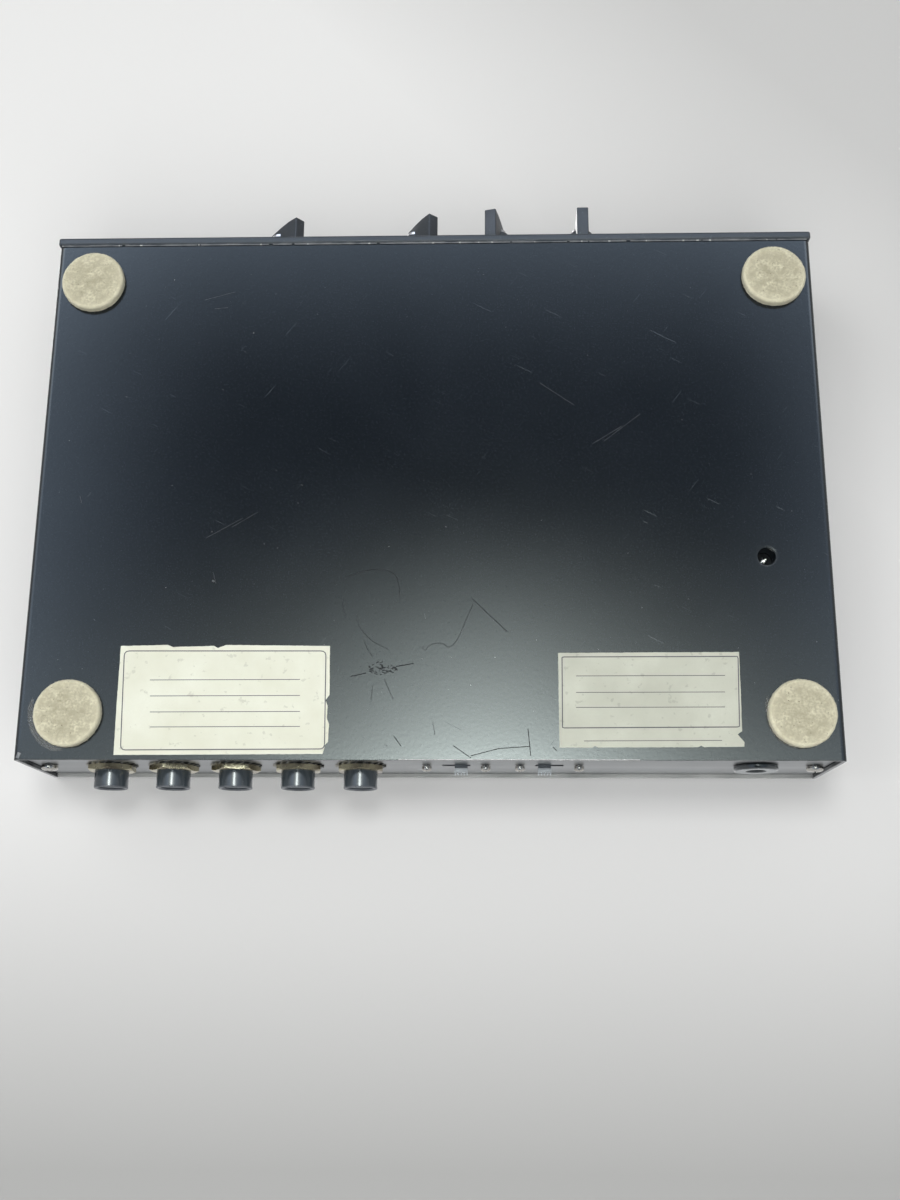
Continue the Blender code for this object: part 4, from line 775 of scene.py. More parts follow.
def jack_sleeve():
    """The metal sleeve that a plug slides into, a little way down the bore."""
    outer, inner = BORE_RADIUS - 0.00005, BORE_RADIUS - 0.00030
    low, high = BARREL_REACH - BORE_DEPTH + 0.001, BARREL_REACH - 0.0022
    return moved(turned([(outer, low), (outer, high), (inner, high), (inner, low)], 48, True), REARWARD)


def jack_body():
    """The moulded box behind the panel."""
    half = JACK_BODY_HALF
    back = BODY_FACE - REAR_FACE - 0.0003
    return rounded_block((-half, JACK_BODY_FRONT, -half), (half, back, half), 0.0006)


barrels = set_out("jack_barrels", jack_barrel(), gloss_black, jack_marks, NO_TURN)
seat(barrels, "case", "gloss_black", *JACK_NODES)
seat(set_out("jack_rims", jack_rim(), rim_grey, jack_marks, NO_TURN), "case", "gloss_black")
seat(set_out("jack_sleeves", jack_sleeve(), nickel, jack_marks, NO_TURN), "case", "nickel")
seat(set_out("jack_bodies", jack_body(), gloss_black, jack_marks, NO_TURN), "case", "gloss_black")

# %% [markdown]
# ## Hexagon nuts
# A real nut is a hexagon whose corners are cut back by a cone. Cutting a prism with a cone
# would do it, but the same surface has a simple rule: at each angle the side stands at the
# hexagon's radius, and its rim drops by the cone's slope. Each nut has its own turn, as
# hand-tightened nuts do.

# %% Nuts
NUT_FLATS = 0.0142
NUT_LOW = 0.0004
NUT_HIGH = NUT_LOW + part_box("jack_nut_1")[1][1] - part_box("jack_nut_1")[0][1]
NUT_SLOPE = 0.55
NUT_TURNS = (-4, 16, 21, -8, -5)


def hex_nut(flats, bore, low, high, slope, sides=96):
    """A nut from the rule above, standing on Z."""
    shape = bmesh.new()
    rows = [[], [], [], [], []]
    flat = flats / 2 * 1.01
    for step in range(sides):
        angle = 2 * math.pi * step / sides
        off = (angle + math.pi / 6) % (math.pi / 3) - math.pi / 6
        radius = min(flats / 2 / math.cos(off), flats / 2 * 1.13)
        drop = slope * max(0, radius - flat)
        profile = ((bore, low), (flat, low), (radius, low + drop * 0.4), (radius, high - drop), (flat, high))
        for row, (size, height) in zip(rows, profile):
            row.append(shape.verts.new((size * math.cos(angle), size * math.sin(angle), height)))
    rows.append([shape.verts.new((vert.co.x, vert.co.y, high)) for vert in rows[0]])
    return skinned(shape, rows, sides, ring=True)


nut_shape = moved(hex_nut(NUT_FLATS, NUT_BORE, NUT_LOW, NUT_HIGH, NUT_SLOPE), REARWARD)
nut_turns = [(0, math.radians(degrees), 0) for degrees in NUT_TURNS]
seat(set_out("jack_nuts", nut_shape, brass, jack_marks, nut_turns, 25), "case", "brass", *NUT_NODES)

# %% [markdown]
# ## Toothed washers
# Under each nut sits a spring washer whose twisted teeth bite into nut and panel. A tree grows
# it: a ring of marks, one small tooth on each, every tooth leaning over. The number of teeth,
# the radius and the lean are inputs, so another washer is only other numbers.

# %% The washer tree
washer_tree, given, result = new_tree("Toothed washer", {
    "Teeth": "Int", "Radius": "Float", "Tooth length": "Float", "Tooth width": "Float",
    "Thickness": "Float", "Lean": "Float", "Finish": "Material",
})
ring = wire(washer_tree, "GeometryNodeMeshCircle", {"Vertices": given["Teeth"], "Radius": given["Radius"]})
size = wire(
    washer_tree, "ShaderNodeCombineXYZ",
    {"X": given["Tooth length"], "Y": given["Tooth width"], "Z": given["Thickness"]},
)
tooth = wire(washer_tree, "GeometryNodeMeshCube", {"Size": size.outputs[0]}).outputs["Mesh"]
index = wire(washer_tree, "GeometryNodeInputIndex").outputs[0]
share = math_node(washer_tree, "DIVIDE", index, given["Teeth"])
angle = times(washer_tree, share, 2 * math.pi)
lean = wire(washer_tree, "ShaderNodeCombineXYZ", {"X": given["Lean"], "Z": angle}).outputs[0]
teeth = wire(
    washer_tree, "GeometryNodeInstanceOnPoints",
    {"Points": ring.outputs["Mesh"], "Instance": tooth, "Rotation": lean},
).outputs[0]
whole = wire(washer_tree, "GeometryNodeJoinGeometry", {"Geometry": teeth})
washer_tree.links.new(given["Geometry"], whole.inputs["Geometry"])
close_tree(washer_tree, whole.outputs[0], given, result)

# %% Washers under the nuts
WASHER_HIGH = NUT_LOW - 0.00005
WASHER_LOW = 0.00005
WASHER_OUTER = 0.0071
WASHER_BAND = [
    (NUT_BORE, WASHER_LOW + 0.0001),
    (WASHER_OUTER, WASHER_LOW + 0.0001),
    (WASHER_OUTER, WASHER_HIGH - 0.0001),
    (NUT_BORE, WASHER_HIGH - 0.0001),
]
washer_height = (WASHER_LOW + WASHER_HIGH) / 2
band = piece("washer_band", moved(turned(WASHER_BAND, 48, True), at((0, 0, -washer_height))), washer_steel)
washer = grown("washer", band, washer_tree, {
    "Teeth": 20, "Radius": WASHER_OUTER + 0.0003, "Tooth length": 0.0019, "Tooth width": 0.0011,
    "Thickness": 0.00022, "Lean": 0.42, "Finish": washer_steel,
})
washer_shape = bmesh.new()
washer_shape.from_mesh(washer.data)
bpy.data.objects.remove(washer)
moved(washer_shape, REARWARD @ Matrix.Translation((0, 0, washer_height)))
washer_turns = [(0, 0.1 * number, 0) for number in range(len(jack_marks))]
seat(set_out("washers", washer_shape, washer_steel, jack_marks, washer_turns, 20), "case", "black_steel")

# %% [markdown]
# ## Screws with a cross recess
# The rear panel and the sides are held by domed screws. The recess is a tapered cross that is
# cut out of the dome with a Boolean modifier, once for each kind of screw, and the setting-out
# tree then places them, each at its own turn. A screw's four sizes are the radius and height
# of its head, then the radius and length of its shank.

# %% Screws
M3_SIZES = (0.00275, 0.0018, 0.0015, 0.0045)
M2_SIZES = (0.0016, 0.0018, 0.0009, 0.0046)
M2_LIFT = 0.0006


def cross_cutter(radius, height):
    """Two tapered blades that cross, wide at the top and narrow at the foot of the recess."""
    arms = []
    for spin in (0, math.pi / 2):
        blade = bmesh.new()
        bmesh.ops.create_cube(blade, size=1)
        for vert in blade.verts:
            high = vert.co.z > 0
            long = radius * (0.62 if high else 0.30)
            wide = radius * (0.13 if high else 0.09)
            depth = height * (1.4 if high else 0.35)
            vert.co = Vector((math.copysign(long, vert.co.x), math.copysign(wide, vert.co.y), depth))
        arms.append(moved(blade, Matrix.Rotation(spin, 4, "Z")))
    return arms


def cut_away(made, cutters, finish):
    """Cuts each cutter out of a piece and returns the result as a bmesh."""
    tools = [piece("cutter", cutter, finish) for cutter in cutters]
    for tool in tools:
        modifier = made.modifiers.new("cut", "BOOLEAN")
        modifier.object = tool
        modifier.solver = "EXACT"
    seen = made.evaluated_get(bpy.context.evaluated_depsgraph_get())
    shape = bmesh.new()
    shape.from_mesh(seen.to_mesh())
    seen.to_mesh_clear()
    for tool in tools + [made]:
        bpy.data.objects.remove(tool)
    return shape


def pan_screw(sizes, finish):
    """A domed head with a cross recess, and its shank."""
    radius, height, shank, length = sizes
    profile = [(0, -length), (shank, -length), (shank, 0), (radius, 0)]
    profile += arc(0.72 * radius, 0.35 * height, 0.28 * radius, 0.5 * height, 0, 90, 8)
    profile += [(0.4 * radius, 0.96 * height), (0, height)]
    return cut_away(piece("screw_blank", turned(profile, 48), finish), cross_cutter(radius, height), finish)


def screws(name, sizes, slot, facing, nodes, turns, lift=0):
    """Screws of one kind, each with its head where its CAD node has it."""
    finish = finishes[slot]
    places = []
    axis = (facing @ Vector((0, 0, 1, 0))).xyz
    for node in nodes:
        low, high = corners(node)
        face = Vector([high[n] if axis[n] > 0.5 else low[n] if axis[n] < -0.5 else (low[n] + high[n]) / 2
                       for n in range(3)])
        places.append(face - axis * sizes[1] + axis * lift)
    spins = [tuple(turn * component for component in axis) for turn in turns]
    shape = moved(pan_screw(sizes, finish), facing)
    seat(set_out(name, shape, finish, places, spins), "case", slot, *nodes)


SWITCH_SCREWS = [f"switch_screw_{number}" for number in (1, 2, 3, 4)]
REAR_SCREWS = ["rear_screw_left", "rear_screw_right"]
screws("switch_screws", M2_SIZES, "nickel", REARWARD, SWITCH_SCREWS, (0.2, 0.9, 0.5, 1.3), M2_LIFT)
screws("rear_screws", M3_SIZES, "nickel", REARWARD, REAR_SCREWS, (0.5, 0.25))
screws("side_screw_left_fine", M3_SIZES, "black_steel", LEFTWARD, ["side_screw_left"], (0.6,))
screws("side_screw_right_fine", M3_SIZES, "black_steel", RIGHTWARD, ["side_screw_right"], (0.1,))

# %% [markdown]
# ## Slide switch levers
# A slide switch shows a small moulded lever whose end is cut into ridges for a fingernail. The
# lever is one moulding, but its stem lies in shadow, so it is made as two pieces with two greys;
# the stem's much darker grey is painted shade. Each lever rides on its own body, because it slides.

# %% Levers
LEVER_HALF = 0.00435 / 2
LEVER_HALF_HEIGHT = 0.0014
LEVER_RIDGES = 5
RIDGE_HEIGHT = 0.0009
CAP_HEIGHT = 0.0021
INSET = 0.0001
LEVER_ROUND = 0.00015
FOOT_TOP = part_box("rear_panel")[0][1] - 0.0003


def make_lever(side):
    node = f"slide_lever_{side}"
    low, high = corners(node)
    centre = (low + high) / 2
    cap_low, ridge_low = high.y - CAP_HEIGHT, high.y - RIDGE_HEIGHT
    left, right = centre.x - LEVER_HALF, centre.x + LEVER_HALF
    under, over = centre.z - LEVER_HALF_HEIGHT, centre.z + LEVER_HALF_HEIGHT
    foot = rounded_block((low.x, low.y, low.z), (high.x, FOOT_TOP, high.z), 2 * LEVER_ROUND)
    neck_low = (left + INSET, FOOT_TOP - 4 * INSET, under + INSET)
    neck = rounded_block(neck_low, (right - INSET, cap_low + INSET, over - INSET), LEVER_ROUND)
    seat(piece(f"lever_{side}_stem", gathered([foot, neck]), stem_painted_shade), f"lever_{side}", "lever_grey")
    cap = [rounded_block((left, cap_low, under), (right, ridge_low + INSET, over), LEVER_ROUND)]
    pitch = 2 * LEVER_HALF / (2 * LEVER_RIDGES - 1)
    for number in range(LEVER_RIDGES):
        start = left + 2 * number * pitch
        ridge_foot = (start, ridge_low - 2 * INSET, under + INSET)
        cap.append(rounded_block(ridge_foot, (start + pitch, high.y, over - INSET), 0.8 * LEVER_ROUND))
    seat(piece(f"lever_{side}_fine", gathered(cap), lever_grey), f"lever_{side}", "lever_grey", node)


for side in ("left", "right"):
    make_lever(side)

# %% [markdown]
# ## The supply inlet
# The inlet is one turned moulding: a gloss flange, a satin face ring painted pale grey as a
# painted reflection of the table, and a deep bore with a bright pin in its middle.

# %% Inlet
FLANGE_RADIUS = 0.00715
FLANGE_LOW = 0.0003
FLANGE_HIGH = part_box("dc_inlet")[1][1] - REAR_FACE
INLET_BODY_RADIUS = 0.0055
INLET_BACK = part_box("dc_inlet")[0][1] - REAR_FACE
INLET_BORE = 0.00315
FACE_RISE = 0.00004
PIN_RADIUS = 0.0010
BORE_END = FLANGE_HIGH - 0.0095
INLET_OUTLINE = [
    (0, INLET_BACK), (INLET_BODY_RADIUS, INLET_BACK), (INLET_BODY_RADIUS, FLANGE_LOW),
    (FLANGE_RADIUS, FLANGE_LOW), (FLANGE_RADIUS, FLANGE_HIGH - 0.0005),
    (FLANGE_RADIUS - 0.00015, FLANGE_HIGH - 0.0002), (FLANGE_RADIUS - 0.0005, FLANGE_HIGH),
    (INLET_BORE + 0.0004, FLANGE_HIGH), (INLET_BORE, FLANGE_HIGH - 0.0004),
    (INLET_BORE, BORE_END), (0, BORE_END),
]
FACE_OUTLINE = [
    (FLANGE_RADIUS - 0.0007, FLANGE_HIGH - 0.0002), (FLANGE_RADIUS - 0.0007, FLANGE_HIGH + FACE_RISE),
    (INLET_BORE + 0.0003, FLANGE_HIGH + FACE_RISE), (INLET_BORE + 0.0003, FLANGE_HIGH - 0.0002),
]
PIN_OUTLINE = [
    (0, BORE_END - 0.0005), (PIN_RADIUS, BORE_END - 0.0005), (PIN_RADIUS, FLANGE_HIGH - 0.0016),
    (PIN_RADIUS * 0.7, FLANGE_HIGH - 0.0013), (0, FLANGE_HIGH - 0.0012),
]
inlet_place = at((middle("dc_inlet").x, REAR_FACE, middle("dc_inlet").z), REARWARD)
inlet = piece("inlet_socket", moved(turned(INLET_OUTLINE), inlet_place), inlet_black)
seat(inlet, "case", "gloss_black", "dc_inlet")
inlet_face = piece("inlet_face", moved(turned(FACE_OUTLINE, ring=True), inlet_place), face_painted_reflection)
seat(inlet_face, "case", "gloss_black")
seat(piece("inlet_pin", moved(turned(PIN_OUTLINE, 32), inlet_place), nickel), "case", "nickel")

# %% [markdown]
# ## Bar knobs
# Each knob is a conical skirt crossed by a bar. The tail of the bar is tall, and it slopes
# down to the nose, which carries a white line. The outline is drawn once from the side, given
# its width and rounded, so all four knobs are the same moulding at different turns.

# %% Knobs
KNOB_NAMES = ("level", "delay", "repeat", "echo")
KNOB_TURNS = (-50, -41, 15, 0)
KNOB_HEIGHT = 0.0149
SKIRT_RADIUS = 0.0090
BAR_HALF_LENGTH = 0.0105
BAR_HALF_WIDTH = 0.00205
BAR_START = 0.0012
BAR_ROUND = 0.00035
BAR_SIDE_VIEW = ((0, 1), (0.2, 0.985), (0.4, 0.925), (0.6, 0.84), (0.8, 0.71), (1, 0.52))
LINE_HALF_WIDTH = 0.00028
LINE_DEPTH = 0.0004
LINE_RISE = 0.00003
PANEL_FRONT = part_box("front_panel")[0][1]


def bar_ridge(rise=0.0):
    """The bar's upper outline, from its tail to its nose."""
    length = 2 * BAR_HALF_LENGTH
    return [(along * length - BAR_HALF_LENGTH, up * KNOB_HEIGHT + rise) for along, up in BAR_SIDE_VIEW]


def knob_bar():
    """The bar's side outline, thick as the bar and rounded, standing on Z and pointing to +Y."""
    outline = [(-BAR_HALF_LENGTH, BAR_START)] + bar_ridge() + [(BAR_HALF_LENGTH, BAR_START)]
    shape = bmesh.new()
    near = [shape.verts.new((-BAR_HALF_WIDTH, along, up)) for along, up in outline]
    far = [shape.verts.new((BAR_HALF_WIDTH, along, up)) for along, up in outline]
    shape.faces.new(near)
    shape.faces.new(list(reversed(far)))
    for step in range(len(outline)):
        after = (step + 1) % len(outline)
        shape.faces.new((near[after], near[step], far[step], far[after]))
    bmesh.ops.recalc_face_normals(shape, faces=shape.faces)
    sharp = [edge for edge in shape.edges if edge.calc_face_angle(0) > math.radians(20)]
    bmesh.ops.bevel(shape, geom=sharp, offset=BAR_ROUND, segments=3, profile=0.5, affect="EDGES")
    return shape


def knob_skirt():
    """The conical skirt: hollow under its rim, bored for the shaft, with a rounded top."""
    outline = [(0.0033, 0.0046), (0.0066, 0.0046), (0.0066, 0), (SKIRT_RADIUS - 0.0003, 0)]
    outline += [(SKIRT_RADIUS, 0.0003), (SKIRT_RADIUS, 0.0020), (SKIRT_RADIUS - 0.0003, 0.0023)]
    outline += arc(0.0035, 0.0089, 0.0009, 0.0009, 0, 90, 6)
    return turned(outline + [(0.0033, 0.0098)], 72, True)


def stroked(path, section):
    """A closed bar of four sides, from its section's corners at each point of a path."""
    shape = bmesh.new()
    rows = [[shape.verts.new(corner) for corner in section(number)] for number in range(len(path))]
    for first, second in zip(rows, rows[1:]):
        for side in range(4):
            after = (side + 1) % 4
            shape.faces.new((first[side], first[after], second[after], second[side]))
    shape.faces.new(rows[0])
    shape.faces.new(list(reversed(rows[-1])))
    bmesh.ops.recalc_face_normals(shape, faces=shape.faces)
    return shape


def knob_line():
    """The white line along the sloping nose, a hair above the bar."""
    path = bar_ridge(LINE_RISE)[1:-1]
    sides = ((-1, 0), (1, 0), (1, -LINE_DEPTH), (-1, -LINE_DEPTH))

    def section(number):
        along, up = path[number]
        return [(side * LINE_HALF_WIDTH, along, up + lift) for side, lift in sides]

    return stroked(path, section)


for name, degrees in zip(KNOB_NAMES, KNOB_TURNS):
    low, high = corners(f"{name}_shaft")
    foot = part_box(f"{name}_knob")[1][1]
    place = at((round((low.x + high.x) / 2, 6), foot, (low.z + high.z) / 2), FORWARD, math.radians(-degrees))
    body = f"{name}_control"
    knob = piece(f"{name}_knob_fine", moved(gathered([knob_skirt(), knob_bar()]), place), knob_black)
    seat(knob, body, "knob_black", f"{name}_knob")
    line = piece(f"{name}_knob_line", moved(knob_line(), place), white_print)
    seat(line, body, "knob_black")
print("knobs:", len(KNOB_NAMES))

# %% [markdown]
# ## Power button and lamp
# A round button with a dished end, and a small red lens in a bright bezel. Both are lathe
# work. The button rides on its own body, because it is pushed in.

# %% Button and lamp
BUTTON_RADIUS = 0.0040
BUTTON_STEM_RADIUS = 0.0015
BUTTON_CAP = 0.0075
button_low, button_high = corners("power_button")
button_end = button_high.y - button_low.y
button_profile = [
    (0, 0), (BUTTON_STEM_RADIUS, 0), (BUTTON_STEM_RADIUS, button_end - BUTTON_CAP),
    (BUTTON_RADIUS, button_end - BUTTON_CAP), (BUTTON_RADIUS, button_end - 0.0006),
    (BUTTON_RADIUS - 0.0002, button_end - 0.0001), (BUTTON_RADIUS - 0.0006, button_end),
    (0.0028, button_end - 0.0002), (0.0016, button_end - 0.00045), (0, button_end - 0.0005),
]
button_mark = Vector((middle("power_button").x, button_high.y, middle("power_button").z))
button = piece("power_button_fine", moved(turned(button_profile), at(button_mark, FORWARD)), knob_black)
seat(button, "button", "knob_black", "power_button")

LENS_RADIUS = 0.0025
LENS_DOME = 0.0015
LAMP_FOOT = ((0, 0), (0.0033, 0), (0.0033, 0.001), (LENS_RADIUS, 0.001))
BEZEL = ((0.0028, 0), (0.0042, 0), (0.0042, 0.0003), (0.0038, 0.0007), (0.0031, 0.0008), (0.0028, 0.0004))
lamp_low, lamp_high = corners("power_lamp")
lamp_mark = Vector((middle("power_lamp").x, lamp_high.y, middle("power_lamp").z))
dome_foot = lamp_high.y - lamp_low.y - LENS_DOME
lamp_profile = list(LAMP_FOOT) + arc(0, dome_foot, LENS_RADIUS, LENS_DOME, 0, 90, 8)
lens = piece("power_lamp_lens", moved(turned(lamp_profile, 48), at(lamp_mark, FORWARD)), red_lens)
seat(lens, "case", "red_lens", "power_lamp")
bezel_mark = (lamp_mark.x, PANEL_FRONT - 0.00002, lamp_mark.z)
bezel = piece("power_lamp_bezel", moved(turned(BEZEL, 48, True), at(bezel_mark, FORWARD)), nickel)
seat(bezel, "case", "nickel")

# %% [markdown]
# ## Printed scales on the front
# Numbers round a dial are plain and useful. The ticks are one small bar set out on an arc from
# seven to five o'clock, two to each number, and the numbers are text turned into mesh. They
# stand a few hundredths of a millimetre off the panel, as thick ink does.

# %% Ticks and numbers
DIAL_SWEEP = 150
DIAL_STEPS = 10
TICK_RADIUS = 0.0116
NUMBER_RADIUS = 0.0134
NUMBER_SIZE = 0.0018
TICK_HALF_WIDTH = 0.00012
TICK_HALF_LENGTH = 0.0006
INK_THICKNESS = 0.00003
BUTTON_WORDS = (("ON", 0.0095), ("OFF", -0.0095))


def printed(words, size, place):
    """Plain words as a thin mesh on the front panel, centred on a place."""
    curve = bpy.data.curves.new("words", "FONT")
    curve.body = words
    curve.size = size
    curve.align_x = "CENTER"
    curve.align_y = "CENTER"
    curve.extrude = INK_THICKNESS / 2
    curve.resolution_u = 3
    writer = placed("words", curve)
    seen = writer.evaluated_get(bpy.context.evaluated_depsgraph_get())
    shape = bmesh.new()
    shape.from_mesh(seen.to_mesh())
    seen.to_mesh_clear()
    bpy.data.objects.remove(writer)
    return moved(shape, at(place, FORWARD))


tick_corner = Vector((TICK_HALF_WIDTH, INK_THICKNESS, TICK_HALF_LENGTH))
tick = rounded_block(-tick_corner, tick_corner, 0.00001, 1)
ink_middle = PANEL_FRONT - INK_THICKNESS / 2
tick_places, tick_turns, words = [], [], []
for name in KNOB_NAMES:
    centre = middle(f"{name}_shaft")
    for step in range(2 * DIAL_STEPS + 1):
        angle = math.radians(-DIAL_SWEEP + step * DIAL_SWEEP / DIAL_STEPS)
        out = Vector((math.sin(angle), 0, math.cos(angle)))
        base = Vector((centre.x, ink_middle, centre.z))
        tick_places.append(base + out * TICK_RADIUS)
        tick_turns.append((0, angle, 0))
        if step % 2 == 0:
            words.append(printed(str(step // 2), NUMBER_SIZE, base + out * NUMBER_RADIUS))
seat(set_out("dial_ticks", tick, white_print, tick_places, tick_turns), "case", "panel_paint")
for word, height in BUTTON_WORDS:
    words.append(printed(word, NUMBER_SIZE, Vector((button_mark.x, ink_middle, button_mark.z + height))))
seat(piece("dial_numbers", gathered(words), white_print), "case", "panel_paint")

# %% [markdown]
# ## The adjuster behind the hole
# A round hole in the underside lets a thin screwdriver reach a small adjuster on the board.
# From outside it is a dark well with one bright slotted screw at its foot. Punching has rounded
# the sheet's edge, which shows as a thin paler crescent, so a small painted lip is turned for
# it. The rotor's disc is painted near black with little gloss, as painted shade for the well,
# and the screw rides on the rotor, because it turns.

# %% Adjuster and hole
HOLE_WALL = 0.00328
HOLE_ROUND = 0.0004
HOLE_DEPTH = 0.0012
SCREW_RADIUS = 0.0011
SCREW_RISE = 0.0004
SCREW_TURN = 0.5
ROTOR_EDGE = 0.0002
rotor_low, rotor_high = corners("trimmer_rotor")
rotor_middle = (rotor_low + rotor_high) / 2
rotor_radius = (rotor_high.x - rotor_low.x) / 2
rotor_deep = rotor_high.z - rotor_low.z
rotor_profile = [(0, 0), (rotor_radius, 0), (rotor_radius, rotor_deep - ROTOR_EDGE)]
rotor_profile += [(rotor_radius - ROTOR_EDGE, rotor_deep), (0, rotor_deep)]
rotor_place = at((rotor_middle.x, rotor_middle.y, rotor_high.z), DOWNWARD)
rotor_disc = piece("trimmer_rotor_fine", moved(turned(rotor_profile, 48), rotor_place), hollow_painted_shade)
seat(rotor_disc, "rotor", "nickel", "trimmer_rotor")

dome = arc(0, 0.5 * SCREW_RISE, SCREW_RADIUS, SCREW_RISE, 0, 90, 6)
slot_cutter = rounded_block((-0.002, -0.00017, 0.0002), (0.002, 0.00017, 0.001), 0.00001, 1)
screw_blank = piece("screw_blank", turned([(0, -0.0002), (SCREW_RADIUS, -0.0002)] + dome, 32), nickel)
screw_shape = cut_away(screw_blank, [slot_cutter], nickel)
screw_place = at((rotor_middle.x, rotor_middle.y, rotor_low.z), DOWNWARD, SCREW_TURN)
seat(piece("trimmer_screw", moved(screw_shape, screw_place), nickel), "rotor", "nickel")
frame["nodes"]["trimmer"].material_slots[0].material = inlet_black

hole_edge = [(HOLE_WALL, HOLE_DEPTH)] + arc(HOLE_WALL, HOLE_ROUND, HOLE_ROUND, HOLE_ROUND, -90, -180, 6)
hole_edge.append((HOLE_WALL - HOLE_ROUND, HOLE_DEPTH))
hole_place = at((rotor_middle.x, rotor_middle.y, UNDERSIDE))
seat(piece("hole_rim", moved(turned(hole_edge, ring=True), hole_place), case_paint), "case", "case_paint")

# %% [markdown]
# ## Felt feet
# A felt foot is a disc cut from a sheet: its edge is soft, its face is a little dished and
# worn, and short fibres stand off it. Cloth simulation would not change a pad that is glued
# flat, so the disc is shaped by rule and the fibres are grown by a tree that scatters them on
# its faces, with their number, length and seed as inputs.

# %% Felt pads
FOOT_NODES = ["foot_front_left", "foot_front_right", "foot_rear_left", "foot_rear_right"]
FOOT_RADIUS = 0.0107
FOOT_SIDES = 96
FOOT_RINGS = 16
FOOT_EDGE = 0.0011
OUT_OF_ROUND = 0.012
NAP = 0.00022


def felt_pad(centre, seed):
    """A disc whose lower face is soft, a little uneven and rounded at the rim."""
    shape = bmesh.new()
    # Each vertex carries a painted-highlight weight, the third number of each profile point: full on the
    # rounded edge, where felt catches light.
    rim_highlight = shape.verts.layers.float.new("rim_highlight")
    offset = Vector((seed * 7.3, seed * 3.1, 0))
    flat = FOOT_RADIUS - FOOT_EDGE
    shares = [ring / FOOT_RINGS for ring in range(FOOT_RINGS + 1)]
    profile = [(flat * share, 0.0, share ** 6 * 0.6) for share in shares]
    for step in range(1, 7):
        angle = math.radians(15 * step)
        profile.append((flat + FOOT_EDGE * math.sin(angle), FOOT_EDGE * (1 - math.cos(angle)), 1.0))
    profile += [(FOOT_RADIUS, UNDERSIDE * share, 0.7) for share in (0.55, 0.75, 1.0)]
    rows = []
    for radius, height, highlight_weight in profile:
        row = []
        for step in range(FOOT_SIDES if radius else 1):
            angle = 2 * math.pi * step / FOOT_SIDES
            around = Vector((math.cos(angle), math.sin(angle), 0))
            wobble = 1 + OUT_OF_ROUND * noise.noise(around * 1.3 + offset)
            spot = around * radius * wobble
            soft = 0.5 + 0.5 * noise.noise(spot * 700 + offset) + 0.35 * noise.noise(spot * 2600 + offset)
            worn = NAP * soft * (1 - height / UNDERSIDE)
            fray = 0.5 + noise.noise(Vector((spot.x, spot.y, height)) * 1500)
            side = 1 - OUT_OF_ROUND * (height > 0) * fray
            vert = shape.verts.new((centre.x + spot.x * side, centre.y + spot.y * side, height + worn))
            vert[rim_highlight] = highlight_weight
            row.append(vert)
        rows.append(row)
    for lower, upper in zip(rows, rows[1:]):
        for step in range(FOOT_SIDES):
            after = (step + 1) % FOOT_SIDES
            face = [lower[step % len(lower)], upper[step], upper[after], lower[after % len(lower)]]
            shape.faces.new(list(dict.fromkeys(face)))
    shape.faces.new(rows[-1])
    bmesh.ops.recalc_face_normals(shape, faces=shape.faces)
    return shape


pads = gathered([felt_pad(middle(node), number) for number, node in enumerate(FOOT_NODES)])
felt_feet = piece("felt_feet", pads, felt, 60)

# %% Felt fibres
LOWEST_FIBRE = 0.00001
fibre_tree, given, result = new_tree("Felt fibres", {
    "Density": "Float", "Length": "Float", "Thickness": "Float", "Seed": "Int", "Finish": "Material",
})
scattered = wire(
    fibre_tree, "GeometryNodeDistributePointsOnFaces",
    {"Mesh": given["Geometry"], "Density": given["Density"], "Seed": given["Seed"]},
)
half_length = times(fibre_tree, given["Length"], 0.5)
start = wire(fibre_tree, "ShaderNodeCombineXYZ", {"X": times(fibre_tree, half_length, -1.0)})
end = wire(fibre_tree, "ShaderNodeCombineXYZ", {"X": half_length})
bow = wire(fibre_tree, "ShaderNodeCombineXYZ", {"Z": times(fibre_tree, given["Length"], 0.22)})
strand = wire(
    fibre_tree, "GeometryNodeCurveQuadraticBezier",
    {"Resolution": 4, "Start": start.outputs[0], "Middle": bow.outputs[0], "End": end.outputs[0]},
).outputs[0]
inputs = {"Resolution": 3, "Radius": given["Thickness"]}
section = wire(fibre_tree, "GeometryNodeCurvePrimitiveCircle", inputs)
fibre = wire(
    fibre_tree, "GeometryNodeCurveToMesh",
    {"Curve": strand, "Profile Curve": section.outputs[0], "Fill Caps": True},
).outputs[0]
spin = wire(
    fibre_tree, "FunctionNodeRandomValue", {0: (0, 0, 0), 1: (0, 0, 2 * math.pi), "Seed": given["Seed"]},
    data_type="FLOAT_VECTOR",
).outputs[0]
facing = wire(
    fibre_tree, "FunctionNodeRotateRotation", {"Rotation": scattered.outputs["Rotation"], "Rotate By": spin},
    rotation_space="LOCAL",
).outputs[0]
size = wire(
    fibre_tree, "FunctionNodeRandomValue", {2: 0.5, 3: 1.3, "Seed": given["Seed"]}, data_type="FLOAT",
).outputs[1]
fibres = wire(
    fibre_tree, "GeometryNodeInstanceOnPoints",
    {"Points": scattered.outputs["Points"], "Instance": fibre, "Rotation": facing, "Scale": size},
).outputs[0]
close_tree(fibre_tree, fibres, given, result)

felt_fibres = grown("felt_fibres", placed("fibre_carrier", felt_feet.data.copy()), fibre_tree, {
    "Density": 1300000.0, "Length": 0.0011, "Thickness": 0.00002, "Seed": 4, "Finish": felt,
})
for vert in felt_fibres.data.vertices:
    vert.co.z = max(vert.co.z, LOWEST_FIBRE)
seat(felt_feet, "case", "felt", *FOOT_NODES)
seat(felt_fibres, "case", "felt")

# %% [markdown]
# ## Labels
# The unit carries two paper labels. What was printed on them stays off: they keep only their
# shape, their tears and plain ruled lines. Each is a thin sheet, less than a tenth of a
# millimetre thick, cut to an outline that is given as columns and rows of the picture. Its
# edge is roughened a little, as torn paper is.

